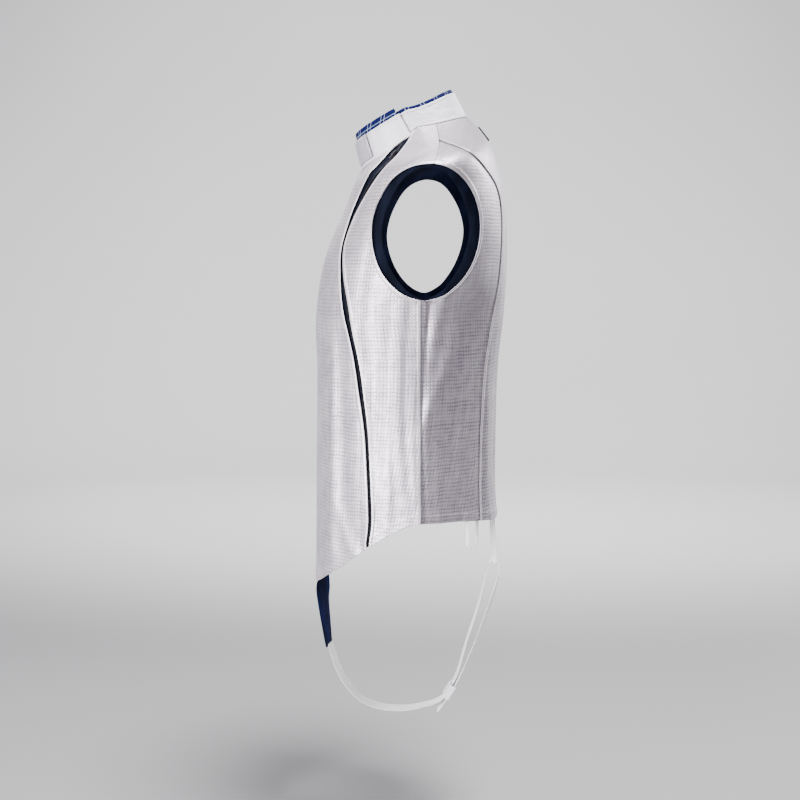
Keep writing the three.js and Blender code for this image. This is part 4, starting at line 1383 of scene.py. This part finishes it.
def collar_wall(name, angles, shares, middle_offset, half, material, slot, lips=None):
    normal = normal_of(collar_point, angles, shares)
    lift = collar_lift(angles) + middle_offset + collar_wave(angles, shares)
    middle = collar_point(angles, shares) + normal * lift[..., None]
    if lips is not None:
        middle = middle + normal * lips(middle)[..., None]
    around, _ = run_lengths(collar_point(angles, shares), 0)
    up, down = run_lengths(middle, 1)
    uv = np.stack([around, up if material is not CHECK else down], axis=-1)
    simple_wall(name, middle, normal, half, uv, material)
    return middle + normal * half, normal


def collar_lips(middle):
    to_end = run_lengths(middle, 0)[1]
    to_foot, to_head = run_lengths(middle, 1)
    return lip_lift(to_end, LAP_LIP) + lip_lift(to_head, HEAD_LIP) + lip_lift(to_foot, FOOT_LIP)


def tab_lips(middle):
    to_start, to_end = run_lengths(middle, 0)
    start_curl = TAB_START_CURL * np.exp(-to_start / TAB_CURL_REACH)
    return TAB_END_CURL * np.exp(-to_end / TAB_CURL_REACH) + start_curl


def stitched(surface, normal):
    """A panel record of a surface, for its stitch lines."""
    to_foot, to_head = run_lengths(surface, 1)
    to_start, to_end = run_lengths(surface, 0)
    return Panel(surface, normal, to_foot, to_start, to_end, 0), to_head


def add_collar():
    grid = collar_grid(COLLAR_START, COLLAR_END, band_foot, collar_head, COLLAR_COLUMNS)
    half = COLLAR_WALL / 2
    face = collar_wall("collar_band", *grid, -half, half, COLLAR_CLOTH, "lame_cloth", collar_lips)
    band, band_top = stitched(*face)
    foot = level_at(COLLAR_LINING_FOOT)
    grid = collar_grid(*COLLAR_LINING_ENDS, foot, lining_head, COLLAR_COLUMNS)
    half = COLLAR_LINING_WALL / 2
    collar_wall("collar_lining", *grid, -COLLAR_WALL - COLLAR_LINING_GAP - half, half, CHECK, "collar_blue")
    grid = collar_grid(*TAB_ENDS, level_at(TAB_FOOT), level_at(TAB_HEAD), TAB_COLUMNS)
    half = TAB_WALL / 2
    face = collar_wall("collar_tab", *grid, TAB_GAP + half, half, TAB_CLOTH_PAINTED_SHADE, "lame_cloth", tab_lips)
    tab, tab_top = stitched(*face)
    lines = [line_along(band, band.from_bottom, stitch, 1, STITCHED) for stitch in BAND_FOOT_STITCHES]
    lines += [
        line_along(band, band_top, BAND_HEAD_STITCH, 1, STITCHED),
        line_along(band, band.from_right, BAND_END_STITCH, 0, STITCHED),
        line_along(tab, tab.from_right, TAB_END_STITCH, 0, STITCHED),
        line_along(tab, tab.from_left, TAB_END_STITCH, 0, STITCHED),
        line_along(tab, tab_top, TAB_HEAD_STITCH, 1, STITCHED),
    ]
    stitch_mesh("collar_stitches", lines, COLLAR_PITCH)


add_collar()


# Bands: strips along stations with a centre, a width direction and a width
def band_grid(centres, across, widths, columns, cup=0.0):
    along = np.gradient(centres, axis=0)
    normal = unit(np.cross(across, along))
    share = np.linspace(-0.5, 0.5, columns)
    middle = centres[None] + across[None] * (share[:, None] * widths[None, :])[..., None]
    bow = cup * (1 - (2 * share) ** 2)
    middle = middle + normal[None] * bow[:, None, None]
    normals = np.broadcast_to(normal[None], middle.shape)
    lengths = np.concatenate([[0], np.cumsum(np.linalg.norm(np.diff(centres, axis=0), axis=-1))])
    u = share[:, None] * widths[None, :]
    uv = np.stack([u, np.broadcast_to(lengths[None], u.shape)], axis=-1)
    return middle, normals, uv


def add_band(name, centres, across, widths, wall, columns, material, cup=0.0):
    middle, normals, uv = band_grid(centres, across, widths, columns, cup)
    simple_wall(name, middle, normals, wall / 2, uv, material)


# Clip tab: level and lift of its ends, and round corners at both ends
CLIP_TOP = (9.2, 1.4)
CLIP_BOTTOM = (8.4, 2.2)
CLIP_WIDTH = 20
CLIP_WALL = 1.6
CLIP_STEPS = 26
CLIP_COLUMNS = 21
CLIP_CORNER = 3
CLIP_CORNER_SHARE = 0.12


def add_clip_tab():
    ends = [cloth_point(np.array([180.0, level]), lift) for level, lift in (CLIP_TOP, CLIP_BOTTOM)]
    share = np.linspace(0, 1, CLIP_STEPS)
    centres = lerp(ends[0][None], ends[1][None], share[:, None])
    across = np.tile(np.array([1.0, 0.0, 0.0]), (len(share), 1))
    corner = np.clip(np.minimum(share, 1 - share) / CLIP_CORNER_SHARE, 0, 1)
    widths = CLIP_WIDTH - CLIP_CORNER * (1 - np.sqrt(np.clip(1 - (1 - corner) ** 2, 0, 1)))
    add_band("clip_tab", centres, across, widths, CLIP_WALL, CLIP_COLUMNS, NAVY_TAB)


add_clip_tab()

# Tab under the front point: y, z, width and turn about the vertical
TabRow = namedtuple("TabRow", "y z width turn")
CROTCH_TAB = [
    TabRow(-141, -646, 42, 8),
    TabRow(-142.5, -669, 42, 24),
    TabRow(-142, -696, 39, 20),
    TabRow(-137.5, -735, 33, 17),
    TabRow(-134, -762, 29, 13),
]
CROTCH_TAB_WALL = 2
CROTCH_TAB_STEPS = 60
CROTCH_TAB_COLUMNS = 25
CROTCH_TAB_CUP = 0.6
# Piping on the tab's far edge: radius, points round it, the stretch of the edge that has it, and a
# direction that it never follows
PIPING = 1.2
PIPING_RING = 8
PIPED = slice(14, -2)
PIPING_ASIDE = (1.0, 0.2, 0.1)


def tube(name, line, radius, material):
    along = unit(np.gradient(line, axis=0))
    side = unit(np.cross(along, np.array(PIPING_ASIDE)))
    other = np.cross(along, side)
    turn = np.arange(PIPING_RING) / PIPING_RING * 2 * math.pi
    ring = side[:, None] * np.cos(turn)[None, :, None] + other[:, None] * np.sin(turn)[None, :, None]
    points = (line[:, None] + ring * radius).reshape(-1, 3)
    uv = np.stack([np.zeros(len(points)), points[:, 2]], axis=-1)
    obj = add_mesh(name, points, ring_faces(0, len(line), PIPING_RING), uv)
    finish_piece(obj, material)


def add_crotch_tab():
    heights = [-row.z for row in CROTCH_TAB]
    z = np.linspace(heights[0], heights[-1], CROTCH_TAB_STEPS)
    y = smooth_column(heights, [row.y for row in CROTCH_TAB])(z)
    width = smooth_column(heights, [row.width for row in CROTCH_TAB])(z)
    turn = np.radians(smooth_column(heights, [row.turn for row in CROTCH_TAB])(z))
    centres = np.stack([np.zeros_like(z), y, -z], axis=-1)
    across = np.stack([np.cos(turn), -np.sin(turn), np.zeros_like(z)], axis=-1)
    add_band("crotch_tab", centres, across, width, CROTCH_TAB_WALL, CROTCH_TAB_COLUMNS, NAVY_TAB,
             CROTCH_TAB_CUP)
    line = (centres - across * (width / 2)[:, None])[PIPED]
    tube("tab_piping", line, PIPING, ELASTIC)


add_crotch_tab()

# Elastic strap: its route with the roll of its near edge
StrapRow = namedtuple("StrapRow", "y z roll")
STRAP_ROUTE = [
    StrapRow(-131.6, -757, 14),
    StrapRow(-129.4, -768, 14),
    StrapRow(-121, -794, 13),
    StrapRow(-108, -818, 11),
    StrapRow(-87, -841, 9),
    StrapRow(-59, -853.5, 7),
    StrapRow(-30, -856.5, 5),
    StrapRow(-10, -855, 3),
    StrapRow(5, -851.5, 2),
    StrapRow(20, -847.5, 1),
    StrapRow(30, -842.5, 0),
    StrapRow(36.4, -837.2, 0),
    StrapRow(42.1, -827.9, 0),
    StrapRow(47.8, -818.6, 0),
    StrapRow(54, -806, 1),
    StrapRow(60, -788, 1),
    StrapRow(65, -769, 1),
    StrapRow(72, -745, 1),
    StrapRow(82, -714, 1),
    StrapRow(91, -680, 1),
    StrapRow(97, -655, 0),
    StrapRow(100.7, -644, 0),
    StrapRow(103.4, -636, 0),
    StrapRow(109, -631.5, 0),
    StrapRow(114.4, -636, 0),
    StrapRow(116.2, -645, 2),
    StrapRow(114.8, -660, 9),
    StrapRow(110, -679, 14),
    StrapRow(103, -701, 16),
    StrapRow(94.5, -725, 16),
    StrapRow(84.5, -752, 14),
    StrapRow(73.5, -777, 10),
    StrapRow(62, -802, 4),
    StrapRow(51.6, -820.7, 0),
    StrapRow(45.9, -830.1, 0),
    StrapRow(40.2, -839.5, 0),
    StrapRow(33.5, -850, 0),
    StrapRow(26, -860, 0),
]
STRAP_WIDTH = 25
STRAP_WALL = 1.2
STRAP_STEPS = 9
STRAP_COLUMNS = 17


def curve_through(points, per_span):
    """A centripetal Catmull-Rom curve through points, with the row number of each of its points."""
    points = np.asarray(points, float)
    ends = np.concatenate([[2 * points[0] - points[1]], points, [2 * points[-1] - points[-2]]])
    made = []
    rows = []
    for i in range(len(points) - 1):
        p0, p1, p2, p3 = ends[i:i + 4]
        d0, d1, d2 = (math.sqrt(np.linalg.norm(b - a)) for a, b in ((p0, p1), (p1, p2), (p2, p3)))
        m1 = ((p1 - p0) / d0 - (p2 - p0) / (d0 + d1) + (p2 - p1) / d1) * d1
        m2 = ((p2 - p1) / d1 - (p3 - p1) / (d1 + d2) + (p3 - p2) / d2) * d1
        count = per_span + 1 if i == len(points) - 2 else per_span
        for k in range(count):
            s = k / per_span
            square = -3 * p1 + 3 * p2 - 2 * m1 - m2
            cube = 2 * p1 - 2 * p2 + m1 + m2
            made.append(p1 + m1 * s + square * s * s + cube * s**3)
            rows.append(i + s)
    return np.array(made), np.array(rows)


def strap_across(along, roll):
    tip = np.radians(roll)
    zero = np.zeros(len(along))
    outside = unit(np.stack([zero, along[:, 2], -along[:, 1]], axis=-1))
    flat = np.stack([np.cos(tip), zero, zero], axis=-1)
    return flat + outside * np.sin(tip)[:, None]


def add_strap():
    line, rows = curve_through([(0, row.y, row.z) for row in STRAP_ROUTE], STRAP_STEPS)
    roll = np.interp(rows, np.arange(len(STRAP_ROUTE)), [row.roll for row in STRAP_ROUTE])
    across = strap_across(np.gradient(line, axis=0), roll)
    widths = np.full(len(line), float(STRAP_WIDTH))
    add_band("crotch_strap", line, across, widths, STRAP_WALL, STRAP_COLUMNS, ELASTIC)


add_strap()

# Ladder slider on the strap
SLIDER_PLACE = (0, 44, -829)
SLIDER_ALONG = (11.4, 18.6)
SLIDER_LENGTH = 22
SLIDER_WIDTH = 31
SLIDER_HEIGHT = 9.4
SLOT_WIDTH = 27
SLOT_HEIGHT = 2.6
SLOT_PITCH = 4.4
SLIDER_BEVEL = 0.8


def add_strap_slider():
    """A block with two slots along it, from a grid of cells with two left out."""
    xs = [-SLIDER_WIDTH / 2, -SLOT_WIDTH / 2, SLOT_WIDTH / 2, SLIDER_WIDTH / 2]
    ys = [-SLIDER_HEIGHT / 2, -SLOT_PITCH / 2 - SLOT_HEIGHT / 2, -SLOT_PITCH / 2 + SLOT_HEIGHT / 2,
          SLOT_PITCH / 2 - SLOT_HEIGHT / 2, SLOT_PITCH / 2 + SLOT_HEIGHT / 2, SLIDER_HEIGHT / 2]
    along = unit(np.array([0.0, *SLIDER_ALONG]))
    across = np.array([1.0, 0.0, 0.0])
    outside = np.cross(along, across)
    start = np.array(SLIDER_PLACE) - along * SLIDER_LENGTH / 2
    seat = basis(across, outside, along, start)
    mesh = bmesh.new()
    verts = {}
    for i, x in enumerate(xs):
        for j, y in enumerate(ys):
            for k, z in enumerate((0.0, SLIDER_LENGTH)):
                verts[i, j, k] = mesh.verts.new(seat @ Vector((x, y, z)))
    slots = {(1, 1), (1, 3)}
    columns = len(xs) - 1
    rows = len(ys) - 1

    def solid(i, j):
        return 0 <= i < columns and 0 <= j < rows and (i, j) not in slots

    for i in range(columns):
        for j in range(rows):
            if not solid(i, j):
                continue
            for k, order in ((0, 1), (1, -1)):
                corners = [verts[i, j, k], verts[i, j + 1, k], verts[i + 1, j + 1, k], verts[i + 1, j, k]]
                mesh.faces.new(corners[::order])
            sides = (((i - 1, j), (i, j), (i, j + 1)), ((i + 1, j), (i + 1, j + 1), (i + 1, j)),
                     ((i, j - 1), (i + 1, j), (i, j)), ((i, j + 1), (i, j + 1), (i + 1, j + 1)))
            for neighbour, a, b in sides:
                if not solid(*neighbour):
                    mesh.faces.new([verts[(*a, 0)], verts[(*a, 1)], verts[(*b, 1)], verts[(*b, 0)]])
    bmesh.ops.recalc_face_normals(mesh, faces=mesh.faces)
    bmesh.ops.bevel(mesh, geom=sharp_edges(mesh.edges), offset=SLIDER_BEVEL, segments=3,
                    affect="EDGES", profile=0.5)
    finish_piece(from_bmesh("strap_slider", mesh), WHITE_PLASTIC, "strap_slider")


add_strap_slider()

# Tape loops under the hem: half the width, the tape's width, the reach above and below the hem, how far
# inside the cloth they hang, how far their foot leans out, and the radius of their corners
Loop = namedtuple("Loop", "name angle half tape above below inset lean corner")
HEM_LOOPS = [
    Loop("hem_loop_center", 180, 14.5, 7, 4, 73, 1.8, 4.6, 3),
    Loop("hem_loop_left", 138, 13.5, 5, 4, 39, 5.2, 0, 12),
]
LOOP_WALL = 1.2
LOOP_LEG_STEPS = 24
LOOP_CORNER_STEPS = 12
LOOP_COLUMNS = 9


def add_hem_loop(loop):
    inside = SHELL.inner - loop.inset - loop.tape / 2
    hem = cloth_point(np.array([loop.angle, 0.0]), inside)
    outward = unit(normal_of(body_point, np.float64(loop.angle), 0.0) * np.array([1, 1, 0]))
    aside = np.array([-outward[1], outward[0], 0])
    turn = np.linspace(0, math.pi / 2, LOOP_CORNER_STEPS)
    corner_side = loop.half - loop.corner * (1 - np.cos(turn))
    corner_height = loop.corner * (1 - np.sin(turn)) - loop.below
    leg_height = np.linspace(loop.above, corner_height[0], LOOP_LEG_STEPS)[:-1]
    side = np.concatenate([np.full(len(leg_height), loop.half), corner_side])
    height = np.concatenate([leg_height, corner_height])
    sides = np.concatenate([-side, side[::-1]])
    heights = np.concatenate([height, height[::-1]])
    swing = loop.lean * (loop.above - heights) / (loop.above + loop.below)
    line = hem[None] + aside[None] * sides[:, None] + outward[None] * swing[:, None]
    line[:, 2] = hem[2] + heights
    across = np.tile(outward, (len(line), 1))
    widths = np.full(len(line), float(loop.tape))
    add_band(loop.name, line, across, widths, LOOP_WALL, LOOP_COLUMNS, ELASTIC)


for hem_loop in HEM_LOOPS:
    add_hem_loop(hem_loop)

# Cloth sizes before sewing, in metres: flat width and length, flat area, how it is held, what it hangs on
Cut = namedtuple("Cut", "name width length area held rests_on")

# Stage: a pale floor that rises into a round backdrop
FLOOR_Z = -1.02
FLOOR_RADIUS = 3.6
BACKDROP_BEND = 1.6
BACKDROP_TOP = 5.0
STAGE_SEGMENTS = 96
STAGE_RINGS = 14


def stage_material():
    g = Graph("backdrop", 0.9, specular=0.2)
    soft = g.noise(g.object_place(), 1.2, 2.0)
    g.color(g.mix(soft, rgb(138, 138, 140), rgb(142, 142, 144)))
    return g.material


def add_stage():
    profile = [(0.0, FLOOR_Z), (FLOOR_RADIUS / 2, FLOOR_Z)]
    for k in range(STAGE_RINGS + 1):
        turn = math.pi / 2 * k / STAGE_RINGS
        radius = FLOOR_RADIUS + BACKDROP_BEND * math.sin(turn)
        profile.append((radius, FLOOR_Z + BACKDROP_BEND * (1 - math.cos(turn))))
    profile.append((FLOOR_RADIUS + BACKDROP_BEND, BACKDROP_TOP))
    points = [(0.0, 0.0, FLOOR_Z)]
    faces = []
    for radius, height in profile[1:]:
        for k in range(STAGE_SEGMENTS):
            turn = 2 * math.pi * k / STAGE_SEGMENTS
            points.append((radius * math.cos(turn), radius * math.sin(turn), height))
    for k in range(STAGE_SEGMENTS):
        j = (k + 1) % STAGE_SEGMENTS
        faces.append([0, 1 + k, 1 + j])
        for ring in range(len(profile) - 2):
            low = 1 + ring * STAGE_SEGMENTS
            high = low + STAGE_SEGMENTS
            faces.append([low + k, high + k, high + j, low + j])
    obj = add_mesh("floor", np.array(points) / MM, faces)
    obj.data.materials.append(stage_material())


add_stage()

# Light: three soft lamps on the vest and a spot on the backdrop behind it
Lamp = namedtuple("Lamp", "name place target size power")
LAMPS = [
    Lamp("key", (2.4, -1.95, 0.0), (0.05, -0.05, -0.35), 1.6, 285),
    Lamp("rim", (-1.8, 2.4, 0.8), (0, 0, -0.35), 1.2, 110),
    Lamp("top", (0.5, 0.6, 2.3), (0, 0, -0.1), 1.0, 260),
]
SPOT_PLACE = (-1.2, 0.0, 2.8)
SPOT_TARGET = (-4.3, 0.0, -0.8)
SPOT_POWER = 3800
SPOT_ANGLE = 92
WORLD_STRENGTH = 0.05


def add_lamp(name, kind, place, target, power):
    data = bpy.data.lights.new(name, kind)
    data.energy = power
    obj = bpy.data.objects.new(name, data)
    bpy.context.collection.objects.link(obj)
    aim(obj, place, target)
    return data


def add_lamps():
    for lamp in LAMPS:
        data = add_lamp(lamp.name, "AREA", lamp.place, lamp.target, lamp.power)
        data.shape = "DISK"
        data.size = lamp.size
    spot = add_lamp("backdrop_spot", "SPOT", SPOT_PLACE, SPOT_TARGET, SPOT_POWER)
    spot.spot_size = math.radians(SPOT_ANGLE)
    spot.spot_blend = 1.0
    world = bpy.data.worlds.new("studio")
    world.use_nodes = True
    background = world.node_tree.nodes["Background"]
    background.inputs["Color"].default_value = (1.0, 1.0, 1.0, 1.0)
    background.inputs["Strength"].default_value = WORLD_STRENGTH
    bpy.context.scene.world = world


add_lamps()
